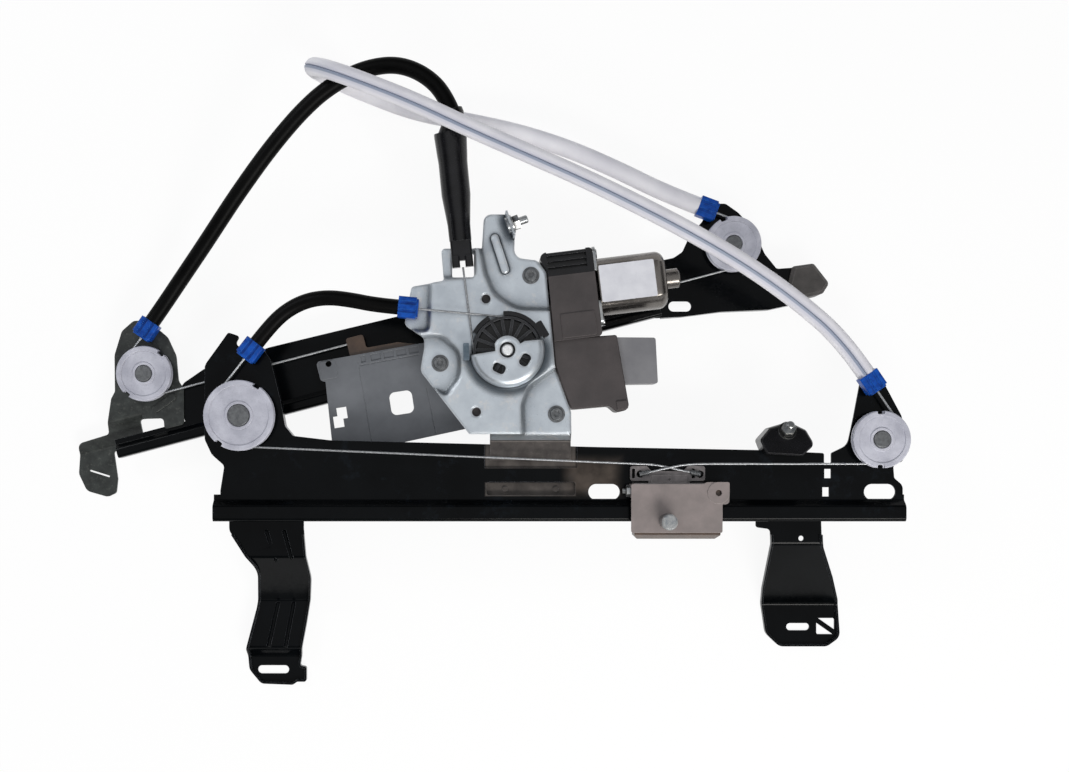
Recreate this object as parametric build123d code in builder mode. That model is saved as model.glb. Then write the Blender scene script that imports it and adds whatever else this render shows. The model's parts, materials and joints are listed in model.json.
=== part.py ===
"""Two-rail cable window regulator, lying face up on a floor. Millimetres, +Z towards the viewer.

Two stamped guide rails each carry a pulley at either end and a carrier for the window glass. One
closed cable loop runs from the motor's drum round all four pulleys, through three sheaths.
"""

import os
from math import asin, atan2, cos, degrees, pi, radians, sin, sqrt, tan

from build123d import *

os.makedirs("parts", exist_ok=True)

# ---- driving dimensions -------------------------------------------------------------------
ORIGIN = (-6.36, 23.7)     # middle of the footprint: each piece is written from here
GAUGE = 1.5                # thickness of every stamped steel strip
FIT = 0.05                 # radial clearance of a running pin

UPPER_FACE = 20.0          # height of the upper rail's front face
UPPER_CABLE = 27.0         # height of the cable along the upper rail
LOWER_FACE = 62.0          # height of the lower rail's front face
LOWER_CABLE = 70.0         # height of the cable along the lower rail
PLATE_FACE = 72.0          # height of the gear plate's front face
PRESS = 3.0                # depth of the gear plate's pressed steps
DRUM_CABLE = 76.0          # middle height of the drum's groove
SPAN_LIFT = 1.0            # the two cables cross this far above and below it
MOTOR_AXIS = 58.0          # height of the motor's axis

CABLE_R = 0.8              # steel cable
PULLEY_R = 21.8            # the three small pulleys
PULLEY_CABLE_R = 18.5      # radius of the cable's centre line round them
LARGE_PULLEY_R = 26.8
LARGE_CABLE_R = 23.5
PULLEY_WIDTH = 8.0
PIN_R = 6.4                # visible head of a small pulley's rivet
LARGE_PIN_R = 8.2
RIVET_NECK_R = 3.0         # the stretch of a rivet that passes through the rail

UPPER_TILT = 14.7          # degrees that the upper rail rises to the right
UPPER_LEFT = (-272.3, 50.3)            # centre of the upper rail's left pulley
UPPER_RIGHT_U, UPPER_RIGHT_V = 476.0, -19.0   # right pulley, along and across the upper rail
LOWER_LEFT = (-190.1, 16.2)
LOWER_RIGHT = (296.8, -2.0)

DRUM = (13.0, 65.0)        # axis of drum, worm wheel and dome
DRUM_R = 25.6
DRUM_WIND_R = 23.0         # radius of the cable wound on the drum
DRUM_RIBS = 18
GUARD_R, GUARD_WIDTH, GUARD_HEIGHT = 27.8, 3.2, 9.5    # rim round the drum, above the plate
GUARD_ARCS = ((22, 96), (119, 152))    # degrees, clear of the two cables
GUARD_CLIPS = (31, 182)
DOME_R = 28.0
DOME_HEIGHT = 13.5

MOTOR = (82.7, 114.6)      # motor axis at the can's flange
MOTOR_TILT = 7.0           # degrees that the motor's axis rises to the right
CAN_R = 22.0
CAN_FLAT = 18.0            # half the can's height between its flats
CAN_LENGTH = 52.0


SHEATH_WHITE = 14.0        # outer diameters
SHEATH_LONG = 12.5
SHEATH_SHORT = 11.5

UPPER = Plane(
    origin=(UPPER_LEFT[0], UPPER_LEFT[1], 0),
    x_dir=(cos(radians(UPPER_TILT)), sin(radians(UPPER_TILT)), 0),
    z_dir=(0, 0, 1),
)
# across the upper rail: local x runs along v, local y is height, the normal runs along u
UPPER_SECTION = Plane(
    origin=UPPER.origin,
    x_dir=(-sin(radians(UPPER_TILT)), cos(radians(UPPER_TILT)), 0),
    z_dir=(cos(radians(UPPER_TILT)), sin(radians(UPPER_TILT)), 0),
)
MOTOR_PLANE = Plane(
    origin=(MOTOR[0], MOTOR[1], 0),
    x_dir=(cos(radians(MOTOR_TILT)), sin(radians(MOTOR_TILT)), 0),
    z_dir=(0, 0, 1),
)
# across the motor: local x runs across the axis, local y is height, the normal runs along the axis
MOTOR_SECTION = Plane(
    origin=MOTOR_PLANE.origin,
    x_dir=(-sin(radians(MOTOR_TILT)), cos(radians(MOTOR_TILT)), 0),
    z_dir=(cos(radians(MOTOR_TILT)), sin(radians(MOTOR_TILT)), 0),
)


# ---- shared shapes ------------------------------------------------------------------------
def finish(piece, label):
    """Name a finished piece and write it, measured from the middle of the footprint."""
    placed = piece.part.moved(Location((-ORIGIN[0], -ORIGIN[1], 0)))
    placed.label = label
    export_step(placed, f"parts/{label}.step")


def outline(*corners, mode=Mode.ADD):
    """A closed profile in the current sketch through (x, y, corner radius) points."""
    with BuildLine(Plane.XY) as edge:
        FilletPolyline(*[(x, y) for x, y, r in corners], radius=[r for x, y, r in corners], close=True)
    make_face(edge.edges(), mode=mode)


def folded_strip(plane, route, bend, width, gauge=GAUGE):
    """A sheet bent along route, its mid-line on plane, as wide as width along the normal."""
    with BuildPart() as strip:
        with BuildSketch(plane):
            with BuildLine():
                if bend:
                    FilletPolyline(*route, radius=bend)
                else:
                    Polyline(*route)
            trace(line_width=gauge)
        extrude(amount=width)
    return strip.part


def wall(plane, route, bend, height, gauge=GAUGE):
    """An upright flange that follows route on plane and rises by height."""
    return folded_strip(plane, route, bend, height, gauge)


def prism(plane, corners, amount, shrink=0.0, taper=0.0):
    """A profile of (x, y, radius) corners extruded from plane, its edge moved in by shrink."""
    with BuildPart() as block:
        with BuildSketch(plane):
            outline(*corners)
            if shrink:
                offset(amount=-shrink, mode=Mode.REPLACE)
        extrude(amount=amount, taper=taper)
    return block.part


def rod(start, end, radius):
    """A straight round bar between two points."""
    path = Vector(*end) - Vector(*start)
    with BuildPart() as bar:
        with BuildSketch(Plane(origin=start, z_dir=path)):
            Circle(radius)
        extrude(amount=path.length)
    return bar.part


def tangent_angle(centre, radius, point, side):
    """Angle on a circle where a line from point touches it; side +1 or -1 picks the touch."""
    dx, dy = point[0] - centre[0], point[1] - centre[1]
    return atan2(dy, dx) + side * (pi / 2 - asin(radius / sqrt(dx * dx + dy * dy)))


def on_circle(centre, radius, angle):
    return centre[0] + radius * cos(angle), centre[1] + radius * sin(angle)


def upper_point(u, v, height):
    """A point of the upper rail's own frame in the part's frame."""
    spot = UPPER.from_local_coords(Vector(u, v, height))
    return spot.X, spot.Y, spot.Z


# ---- lower guide rail ---------------------------------------------------------------------
RAIL_LEFT, RAIL_RIGHT = -211.0, 317.0
LIP_EDGE = -64.5           # the rail's lower outside edge
RAIL_WEB = (
    (-206, -50, 0), (-206, -41, 3), (-203, -22, 4), (-212, -14, 6), (-218, -2, 6), (-218, 55, 9),
    (-207.5, 69.5, 5), (-200, 80, 2), (-191, 77, 2), (-196, 68, 3), (-176, 71, 4), (-167.7, 59.5, 4),
    (-160, 28, 12), (-156.5, 8, 6), (-151.5, 1, 6), (-122, -2.5, 30), (84, -7.7, 60), (207, -10, 60),
    (255.8, -12.3, 1.5), (255.8, -20, 1), (261.2, -20, 1), (261.2, -12.3, 1.5), (273.6, -6.2, 9),
    (278.2, 15.2, 25), (284, 46, 3), (297, 50, 4), (303.4, 38, 20), (315.6, 15.2, 12),
    (316.3, -18.4, 3), (308.7, -21.5, 3), (309.5, -31.4, 3), (316, -37, 6), (316, -50, 0),
)
LIP_ROUTE = (
    (-44, LOWER_FACE - GAUGE / 2), (-48.5, LOWER_FACE - GAUGE / 2), (-53, LOWER_FACE + 5.25),
    (LIP_EDGE + GAUGE / 2, LOWER_FACE + 5.25), (LIP_EDGE + GAUGE / 2, 55),
)
SLOT_Y = -42.0             # the rail's two fixing slots
SLOT_X = (87.5, 298.3)
SLOT_LENGTH, SLOT_R = 24.0, 6.0
GATES = ((258.5, -28), (257, -42))     # two small windows under the cable
POCKET = (-4, 67)          # from, to in x: the recess for the gear plate's tab, the pocket below it
TAB_FLOOR = LOWER_FACE - 1.5
POCKET_FLOOR = LOWER_FACE - 4
POCKET_HEIGHT = 13.0
POCKET_MIDDLE = ((POCKET[0] + POCKET[1]) / 2, -39.5)
lip = folded_strip(Plane.YZ.offset(RAIL_LEFT), LIP_ROUTE, 2.5, RAIL_RIGHT - RAIL_LEFT)
top_flange = wall(
    Plane.XY.offset(LOWER_FACE - 10),
    [(-151, 0), (-122, -3.25), (84, -8.45), (207, -10.75), (250, -12.8)], 30, 10)
left_flange = wall(Plane.XY.offset(LOWER_FACE - 11), [(-212, -13), (-217.2, -2), (-217.2, 54)], 6, 11)
inner_flange = wall(
    Plane.XY.offset(LOWER_FACE - 11), [(-168.4, 59), (-160.8, 28), (-157.2, 8), (-151, 0.5)], 6, 11)
right_flange = wall(
    Plane.XY.offset(LOWER_FACE - 11), [(303, 37), (314.8, 15.2), (315.5, -17)], 10, 11)
with BuildPart() as lower_rail:
    with BuildSketch(Plane.XY.offset(LOWER_FACE - GAUGE)):
        outline(*RAIL_WEB)
        with Locations(LOWER_LEFT, LOWER_RIGHT):
            Circle(RIVET_NECK_R, mode=Mode.SUBTRACT)
    extrude(amount=GAUGE)
    add(lip)
    for flange in (top_flange, left_flange, inner_flange, right_flange):
        add(flange)
    # recess at the top edge, where the tab of the gear plate lies, and a pressed pocket below it
    with BuildSketch(Plane.XY.offset(TAB_FLOOR - GAUGE)):
        outline(*RAIL_WEB)
        with Locations(((POCKET[0] + POCKET[1]) / 2, -25)):
            Rectangle(POCKET[1] - POCKET[0] + 3, 30, align=(Align.CENTER, Align.MIN), mode=Mode.INTERSECT)
    extrude(amount=LOWER_FACE - TAB_FLOOR + GAUGE)
    with BuildSketch(Plane.XY.offset(TAB_FLOOR)):
        with Locations(((POCKET[0] + POCKET[1]) / 2, -23.5)):
            Rectangle(POCKET[1] - POCKET[0], 30, align=(Align.CENTER, Align.MIN))
    extrude(amount=5, mode=Mode.SUBTRACT)
    with BuildSketch(Plane.XY.offset(POCKET_FLOOR - GAUGE)):
        with Locations(POCKET_MIDDLE):
            RectangleRounded(POCKET[1] - POCKET[0], POCKET_HEIGHT, 3)
    extrude(amount=LOWER_FACE - POCKET_FLOOR + GAUGE)
    with BuildSketch(Plane.XY.offset(POCKET_FLOOR)):
        with Locations(POCKET_MIDDLE):
            RectangleRounded(POCKET[1] - POCKET[0] - 2 * GAUGE, POCKET_HEIGHT - 2 * GAUGE, 2)
    extrude(amount=LOWER_FACE - POCKET_FLOOR + 1, mode=Mode.SUBTRACT)
    with BuildSketch(Plane.XY.offset(LOWER_FACE - GAUGE)):
        with Locations(*[(x, SLOT_Y) for x in SLOT_X]):
            SlotOverall(SLOT_LENGTH, 2 * SLOT_R)
        with Locations(*GATES):
            Rectangle(5, 7)
    extrude(amount=GAUGE, mode=Mode.SUBTRACT)
    # weld projections in the lower pocket
    with BuildSketch(Plane.XY.offset(POCKET_FLOOR)):
        with Locations((11.8, -40), (50.8, -40)):
            Circle(2)
    extrude(amount=1.2)
finish(lower_rail, "lower_rail")


# ---- leg brackets -------------------------------------------------------------------------
LEG_TALL = 70.0
LEG_JOIN = ((-30, LOWER_FACE - 2.25), (-47.5, LOWER_FACE - 2.25), (-56, 54.25))
RIM = 5.0                  # height of a leg's turned-up edges
RIM_START = -75.0          # they begin clear of the carrier's path


def pressed_leg(corners, route, bend, holes):
    """A stamped leg: bent sheet trimmed to its outline, with turned-up edges and cut holes."""
    low = min(x for x, y, r in corners)
    high = max(x for x, y, r in corners)
    side = Plane.YZ.offset(low)
    skin = folded_strip(side, route, bend, high - low)
    # the rim rises from the sheet's mid-line
    raised = [(y, z + RIM - GAUGE / 2) for y, z in route]
    with BuildPart() as deep:
        with BuildSketch(side):
            with BuildLine():
                FilletPolyline(*route, radius=bend)
                Line(route[-1], raised[-1])
                FilletPolyline(*raised, radius=bend)
                Line(raised[0], route[0])
            make_face()
        extrude(amount=high - low)
    trim = prism(Plane.XY, corners, LEG_TALL)
    inner = prism(Plane.XY, corners, LEG_TALL, shrink=GAUGE)
    with BuildPart() as rim:
        add(deep.part)
        add(trim, mode=Mode.INTERSECT)
        add(inner, mode=Mode.SUBTRACT)
        # the rim starts clear of the rail's lip
        with BuildSketch(Plane.XY):
            Rectangle(2000, 200, align=(Align.CENTER, Align.MIN))
            with Locations((0, RIM_START)):
                Rectangle(2000, 90, align=(Align.CENTER, Align.MIN))
        extrude(amount=LEG_TALL, mode=Mode.SUBTRACT)
    with BuildPart() as leg:
        add(skin)
        add(trim, mode=Mode.INTERSECT)
        add(rim.part)
        add(holes, mode=Mode.SUBTRACT)
    return leg


LEFT_LEG = (
    (-200.5, -36, 3), (-200.5, -72, 8), (-180, -104, 16), (-185.5, -136, 20), (-194.5, -170, 8),
    (-193, -187, 9), (-183.5, -198.5, 6), (-158, -199.5, 4), (-154.5, -197, 2), (-147, -197, 2),
    (-147, -185, 2), (-152, -184, 1.5), (-150, -171, 4), (-146, -150, 40), (-139.5, -110, 25),
    (-143, -70, 10), (-143, -36, 3),
)
LEFT_LEG_ROUTE = LEG_JOIN + ((-92, 54.25), (-130, 10.75), (-168, 10.75), (-176, 0.75), (-201, 0.75))
with BuildPart() as left_slot:
    with BuildSketch():
        with Locations((-174, -187.5)):
            SlotOverall(25, 6.6)
    extrude(amount=LEG_TALL)
left_leg = pressed_leg(LEFT_LEG, LEFT_LEG_ROUTE, 4, left_slot.part)
RIB_R = 1.6
upper_ribs = [((-171.5, -73, 55), (-165, -95, 52.3)), ((-158, -73, 55), (-152.6, -93, 54.2))]
lower_ribs = [((-169, -133, 11.5), (-176.5, -167, 11.5)), ((-156.5, -133, 11.5), (-163, -167.5, 11.5))]
with BuildPart() as left_leg_bracket:
    add(left_leg.part)
    for start, end in (*upper_ribs, *lower_ribs):
        add(rod(start, end, RIB_R))
        with Locations(start, end):
            Sphere(RIB_R)
finish(left_leg_bracket, "left_leg_bracket")

RIGHT_LEG = (
    (205, -36, 3), (205, -69.5, 2), (216, -71, 3), (218, -120, 20), (223.5, -158, 9),
    (234.5, -168.5, 8), (273, -168.5, 8), (283.5, -161, 8), (281.5, -132, 20), (271, -110, 20),
    (256, -83, 14), (254.5, -36, 3),
)
RIGHT_LEG_ROUTE = LEG_JOIN + ((-82, 54.25), (-134, 0.75), (-170, 0.75))
with BuildPart() as right_holes:
    with BuildSketch():
        with Locations((250.2, -153)):
            SlotOverall(18.5, 5.8)
        with Locations((272.5, -152.5)):
            RectangleRounded(14.5, 13, 1.5)
        with Locations((239.9, -78)):
            Circle(2)
    extrude(amount=LEG_TALL)
right_leg = pressed_leg(RIGHT_LEG, RIGHT_LEG_ROUTE, 5, right_holes.part)
with BuildPart() as right_leg_bracket:
    add(right_leg.part)
    # spring tab left standing across the square hole
    with BuildSketch(Plane.XY):
        with Locations((272.5, -152.5)):
            with Locations(Rotation(0, 0, -35)):
                Rectangle(18.5, 4)
    extrude(amount=GAUGE)
finish(right_leg_bracket, "right_leg_bracket")


# ---- gear plate ---------------------------------------------------------------------------
PLATE = (
    (-37, 143, 3), (-34.9, 118.3, 2), (-59.5, 114, 3), (-65, 85, 5), (-50, 75, 5), (-49.8, 68, 5),
    (-52.9, 50, 8), (-17.5, 4.5, 5), (-15.5, 2, 2), (62, 2, 2), (61.8, 19, 6), (49.4, 52, 16),
    (42.8, 125, 8), (36, 134, 5), (18.5, 136.2, 7), (18.9, 150, 2), (12.5, 169, 3), (-4.4, 169, 6),
    (-6, 143, 1),
)
# pressed areas, each lower than the field by PRESS and running out over the plate's edge
ARM_PAD = (
    (-9, 190, 0), (-7.5, 143, 0), (-3.6, 124, 22), (3, 108, 20), (20, 97, 26), (48, 96.5, 0),
    (70, 96.5, 0), (70, 190, 0),
)
LEFT_PAD = (
    (-70, 76, 0), (-47, 76.5, 4), (-36, 76, 9), (-22.5, 64, 15), (-23, 46, 14), (-33, 32, 3),
    (-60, 42, 0), (-80, 60, 0),
)
CORNER_PAD = ((72, 54, 0), (49, 52, 3), (29, 38, 12), (24.4, 24, 12), (25.5, -5, 0), (72, -5, 0))
FERRULE_PAD = ((-80, 79, 0), (-46.5, 80.5, 4), (-44.5, 122, 0), (-80, 122, 0))
WINDOW_PAD = ((-45, 119, 0), (-12, 122, 4), (-12.5, 152, 0), (-45, 152, 0))
PADS = (ARM_PAD, LEFT_PAD, CORNER_PAD, FERRULE_PAD, WINDOW_PAD)
SCREWS = ((31.2, 122.6), (-37.7, 55.9), (50.6, 17.3))
SCREW_R = 2.5
DOWEL = (-10.1, 18.8)      # the plate's lower round hole, over a lug of the gearbox
PLATE_BACK = PLATE_FACE - PRESS - GAUGE    # the face that the gearbox bolts to
ARM_FLANGE = ((12.0, 168.4), (18.3, 150.4))
ARM_STUD = Plane(origin=(15.15, 159.4, 80), x_dir=(0, 0, 1), z_dir=(18, 6.3, 0))
STUD_R = 3.0
THREAD_R = 2.7             # pitch radius of the thread, where a block, plate or nut holds a stud
DOME_TOP = PLATE_FACE + DOME_HEIGHT
DOME_HOLE_R = 5.9
DOME_PORTS = (246, -30)    # degrees, two rounded holes in the dome's top
NECK_R = 10.5

arm_flange = wall(Plane.XY.offset(PLATE_BACK), ARM_FLANGE, 0, 22)
tab = folded_strip(
    Plane.YZ.offset(0.2),
    [(8, PLATE_BACK + GAUGE / 2), (3, PLATE_BACK + GAUGE / 2), (-3, TAB_FLOOR + GAUGE / 2),
     (-17.6, TAB_FLOOR + GAUGE / 2)], 2.5, 61.8)
with BuildPart() as dome_void:
    with BuildSketch(Plane.XY.offset(PLATE_BACK - 1)):
        with Locations(DRUM):
            Circle(DOME_R - GAUGE)
    extrude(amount=DOME_TOP - GAUGE - PLATE_BACK + 1)
    fillet(dome_void.faces().sort_by(Axis.Z)[-1].edges(), 4)
with BuildPart() as dome_window:
    # the upper half is open, apart from a neck round the centre hole
    with BuildSketch(Plane.XY.offset(PLATE_FACE)):
        with BuildLine():
            low = Line(
                (DRUM[0] - 40, DRUM[1] - 6), (DRUM[0] - 9, DRUM[1] - 1))
            up = Line(low @ 1, (DRUM[0] - 9.5, DRUM[1] + 4.5))
            neck = ThreePointArc(
                up @ 1, (DRUM[0], DRUM[1] + NECK_R), (DRUM[0] + 9.5, DRUM[1] + 4.5))
            right = Line(neck @ 1, (DRUM[0] + 13, DRUM[1] + 6.5))
            out = Line(right @ 1, (DRUM[0] + 40, DRUM[1] + 9))
            Polyline(out @ 1, (DRUM[0] + 40, DRUM[1] + 40), (DRUM[0] - 40, DRUM[1] + 40), low @ 0)
        make_face()
    extrude(amount=DOME_HEIGHT + 2)
# the steps slope at 45 degrees; the sheet keeps its thickness through the slope
under = GAUGE * tan(radians(22.5))
pad_cut = [
    prism(Plane.XY.offset(PLATE_FACE - PRESS), pad, PRESS + 1, shrink=PRESS / 2, taper=-45) for pad in PADS
]
pad_walls = [
    prism(Plane.XY.offset(PLATE_BACK), pad, PRESS + 0.01, shrink=PRESS / 2 - under, taper=-45)
    for pad in PADS
]
with BuildPart() as plate_hollow:
    with BuildSketch(Plane.XY.offset(PLATE_BACK - 1)):
        outline(*PLATE)
        offset(amount=-GAUGE, mode=Mode.REPLACE)
    extrude(amount=PRESS + 1)
    for block, pad in zip(pad_walls, PADS):
        add(block, mode=Mode.SUBTRACT)
        add(prism(Plane.XY.offset(PLATE_BACK - 1), pad, 1.01, shrink=PRESS / 2 - under), mode=Mode.SUBTRACT)
with BuildPart() as gear_plate:
    with BuildSketch(Plane.XY.offset(PLATE_BACK)):
        outline(*PLATE)
    extrude(amount=PRESS + GAUGE)
    for block in pad_cut:
        add(block, mode=Mode.SUBTRACT)
    add(plate_hollow.part, mode=Mode.SUBTRACT)
    with BuildSketch(Plane.XY.offset(PLATE_BACK)):
        with Locations(DRUM):
            Circle(DOME_R)
    extrude(amount=DOME_TOP - PLATE_BACK)
    fillet(
        gear_plate.edges().filter_by(GeomType.CIRCLE).filter_by(
            lambda e: abs(e.center().Z - DOME_TOP) < 0.01 and e.radius > 20), 5.5)
    add(dome_void.part, mode=Mode.SUBTRACT)
    add(dome_window.part, mode=Mode.SUBTRACT)
    add(arm_flange)
    add(tab)
    with BuildSketch(Plane.XY.offset(PLATE_BACK - 1)):
        with Locations(*SCREWS):
            Circle(SCREW_R)
        with Locations((-2.9, 104.4), DOWEL):
            Circle(3.4)
        with Locations((-20.3, 130)):
            RectangleRounded(16.5, 18, 1.5)
        with Locations(DRUM):
            Circle(DOME_HOLE_R)
        for angle in DOME_PORTS:
            with Locations(Location((*on_circle(DRUM, 15.2, radians(angle)), 0), (0, 0, angle + 90))):
                RectangleRounded(9.5, 7, 2.6)
    extrude(amount=60, mode=Mode.SUBTRACT)
    with BuildSketch(ARM_STUD.offset(-5)):
        Circle(THREAD_R)
    extrude(amount=10, mode=Mode.SUBTRACT)
    # stamped bead that stiffens the arm
    with BuildSketch(Plane.XY.offset(PLATE_FACE - PRESS)):
        with Locations(Location((7.7, 138.8, 0), (0, 0, -72))):
            SlotOverall(31, 6)
    extrude(amount=1.4)
finish(gear_plate, "gear_plate")


# ---- cable drum, worm wheel and output shaft ----------------------------------------------
SHAFT_R = 4.3
HOUSING_BACK = 43.0
HOUSING_FRONT = PLATE_BACK
DRUM_BASE = 70.0
DRUM_TOP = 81.5
GROOVE_R = DRUM_WIND_R - CABLE_R - 0.02
WHEEL_R = 34.2
WHEEL_TEETH = 48
with BuildPart() as output_shaft:
    with BuildSketch(Plane.XY.offset(HOUSING_BACK + 0.5)):
        with Locations(DRUM):
            Circle(SHAFT_R)
    extrude(amount=DOME_TOP - HOUSING_BACK - 1.5)
    chamfer(output_shaft.faces().sort_by(Axis.Z)[-1].edges(), 0.8)
finish(output_shaft, "output_shaft")

with BuildPart() as worm_wheel:
    with BuildSketch(Plane.XY.offset(52)):
        with Locations(DRUM):
            Circle(WHEEL_R - 2)
            with PolarLocations(WHEEL_R - 1.2, WHEEL_TEETH):
                Trapezoid(2.4, 2.6, 70, rotation=-90)
            Circle(SHAFT_R, mode=Mode.SUBTRACT)
    extrude(amount=12)
    for height in (52, 61):
        with BuildSketch(Plane.XY.offset(height)):
            with Locations(DRUM):
                Circle(28)
                Circle(10, mode=Mode.SUBTRACT)
        extrude(amount=3, mode=Mode.SUBTRACT)
finish(worm_wheel, "worm_wheel")

with BuildPart() as cable_drum:
    with BuildSketch(Plane.XZ):
        with BuildLine():
            Polyline(
                (SHAFT_R, DRUM_BASE), (DRUM_R, DRUM_BASE), (DRUM_R, DRUM_BASE + 1.6),
                (GROOVE_R, DRUM_BASE + 3), (GROOVE_R, DRUM_TOP - 2.7),
                (DRUM_R, DRUM_TOP - 2), (DRUM_R, DRUM_TOP - 0.4), (DRUM_R - 2, DRUM_TOP - 0.4),
                (DRUM_R - 2, DRUM_TOP - 2.4), (10, DRUM_TOP - 2.4), (10, DRUM_TOP),
                (SHAFT_R, DRUM_TOP), close=True)
        make_face()
    revolve(axis=Axis.Z)
    with BuildSketch(Plane.XY.offset(DRUM_TOP - 2.6)):
        with PolarLocations(16.6, DRUM_RIBS):
            Rectangle(14.6, 2.2)
    extrude(amount=2.4)
cable_drum.part = cable_drum.part.moved(Location((DRUM[0], DRUM[1], 0)))
finish(cable_drum, "cable_drum")

with BuildPart() as drum_cable:
    for height in (DRUM_CABLE - 2, DRUM_CABLE, DRUM_CABLE + 2):
        with Locations((DRUM[0], DRUM[1], height)):
            Torus(DRUM_WIND_R, CABLE_R)
finish(drum_cable, "drum_cable")

# rim that keeps the cable in the drum's groove, open where the cable comes in, and its two clips
with BuildPart() as drum_guard:
    for first, last in GUARD_ARCS:
        with BuildSketch(Plane.XY.offset(PLATE_FACE)):
            with BuildLine():
                CenterArc(DRUM, GUARD_R, first, last - first)
            trace(line_width=GUARD_WIDTH)
        extrude(amount=GUARD_HEIGHT)
    for angle in GUARD_CLIPS:
        with BuildSketch(Plane.XY.offset(PLATE_FACE)):
            with Locations(Location((*on_circle(DRUM, DOME_R + 2.9, radians(angle)), 0), (0, 0, angle))):
                RectangleRounded(4.6, 13, 1)
        extrude(amount=GUARD_HEIGHT)
finish(drum_guard, "drum_guard")


# ---- pulleys and their rivets -------------------------------------------------------------
def pulley(centre, middle, radius, cable_r, pin_r, notches):
    """A grooved pulley whose groove is level with middle, with rim notches for fitting the cable."""
    half = PULLEY_WIDTH / 2
    shaft_r = pin_r - 2
    groove_r = cable_r - CABLE_R - 0.3
    with BuildPart() as wheel:
        with BuildSketch(Plane.XZ):
            with BuildLine():
                Polyline(
                    (shaft_r + FIT, -half), (radius - 0.6, -half), (radius, -half + 0.6),
                    (radius, -1.8), (groove_r, -0.9), (groove_r, 0.9), (radius, 1.8),
                    (radius, half - 0.6), (radius - 0.6, half), (pin_r + 0.5, half),
                    (pin_r + 0.5, half - 1.4), (shaft_r + FIT, half - 1.4), close=True)
            make_face()
        revolve(axis=Axis.Z)
        # shallow dish of the front face, then the rim notches
        with BuildSketch(Plane.XY.offset(half - 0.8)):
            Circle(radius - 4)
            Circle(pin_r + 2.5, mode=Mode.SUBTRACT)
        extrude(amount=1, mode=Mode.SUBTRACT)
        with BuildSketch(Plane.XY.offset(-half)):
            for angle in notches:
                with Locations(Location((*on_circle((0, 0), radius, radians(angle)), 0), (0, 0, angle))):
                    RectangleRounded(5, 5.6, 1)
        extrude(amount=PULLEY_WIDTH, mode=Mode.SUBTRACT)
    wheel.part = wheel.part.moved(Location((centre[0], centre[1], middle)))
    return wheel


def rivet(centre, middle, pin_r, face, grip=GAUGE):
    """The rivet that a pulley turns on: shoulder on the rail's face, shaft, and a flat front head."""
    half = PULLEY_WIDTH / 2
    shaft_r = pin_r - 2
    with BuildPart() as pin:
        with BuildSketch(Plane.XZ):
            with BuildLine():
                Polyline(
                    (0, face - grip - 1.6), (shaft_r, face - grip - 1.6), (shaft_r, face - grip),
                    (RIVET_NECK_R, face - grip), (RIVET_NECK_R, face), (pin_r + 1, face),
                    (pin_r + 1, middle - half - 0.3), (shaft_r, middle - half - 0.3),
                    (shaft_r, middle + half - 1.1), (pin_r, middle + half - 1.1),
                    (pin_r, middle + half + 0.3), (pin_r - 0.5, middle + half + 0.8),
                    (0, middle + half + 0.8), close=True)
            make_face()
        revolve(axis=Axis.Z)
    pin.part = pin.part.moved(Location((centre[0], centre[1], 0)))
    return pin


upper_right = upper_point(UPPER_RIGHT_U, UPPER_RIGHT_V, 0)[:2]
lower_left_pulley = pulley(LOWER_LEFT, LOWER_CABLE, LARGE_PULLEY_R, LARGE_CABLE_R, LARGE_PIN_R, (59, 234))
finish(lower_left_pulley, "lower_left_pulley")
lower_right_pulley = pulley(LOWER_RIGHT, LOWER_CABLE, PULLEY_R, PULLEY_CABLE_R, PIN_R, (92, 268))
finish(lower_right_pulley, "lower_right_pulley")
upper_left_pulley = pulley(UPPER_LEFT, UPPER_CABLE, PULLEY_R, PULLEY_CABLE_R, PIN_R, (230, 50))
finish(upper_left_pulley, "upper_left_pulley")
upper_right_pulley = pulley(upper_right, UPPER_CABLE, PULLEY_R, PULLEY_CABLE_R, PIN_R, (112, 305))
finish(upper_right_pulley, "upper_right_pulley")
lower_left_rivet = rivet(LOWER_LEFT, LOWER_CABLE, LARGE_PIN_R, LOWER_FACE)
finish(lower_left_rivet, "lower_left_rivet")
lower_right_rivet = rivet(LOWER_RIGHT, LOWER_CABLE, PIN_R, LOWER_FACE)
finish(lower_right_rivet, "lower_right_rivet")
upper_left_rivet = rivet(UPPER_LEFT, UPPER_CABLE, PIN_R, UPPER_FACE + 2, 2)
finish(upper_left_rivet, "upper_left_rivet")
upper_right_rivet = rivet(upper_right, UPPER_CABLE, PIN_R, UPPER_FACE)
finish(upper_right_rivet, "upper_right_rivet")


# ---- upper guide rail and its left bracket ------------------------------------------------
UPPER_WEB = (
    (20, -50, 0), (20, -20, 3), (27, -14, 8), (45, -7.5, 10), (100, -4, 60), (202, -6, 60),
    (429, -16.8, 6), (437, -14, 5), (446, -3, 6), (458, 5, 6), (470, 17, 5), (480, 14.5, 5),
    (488, 5, 12), (497, -12, 14), (500, -32, 14), (506, -46, 4), (522, -49, 2), (515, -77, 2),
    (492, -76, 10), (455, -68, 40), (424, -64, 40), (400, -59, 8), (396, -50, 0),
)
UPPER_LIP = (-38, 408)     # from, to along the rail
UPPER_LIP_EDGE = -59.0
UPPER_LIP_ROUTE = (
    (-44, UPPER_FACE - GAUGE / 2), (-48.5, UPPER_FACE - GAUGE / 2), (-52, UPPER_FACE + 3.25),
    (UPPER_LIP_EDGE + GAUGE / 2, UPPER_FACE + 3.25), (UPPER_LIP_EDGE + GAUGE / 2, UPPER_FACE - 10),
)
upper_lip = folded_strip(
    UPPER_SECTION.offset(UPPER_LIP[0]), UPPER_LIP_ROUTE, 2, UPPER_LIP[1] - UPPER_LIP[0])
FLANGE_DROP = 10.0
flange_plane = UPPER.offset(UPPER_FACE - FLANGE_DROP)
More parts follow.
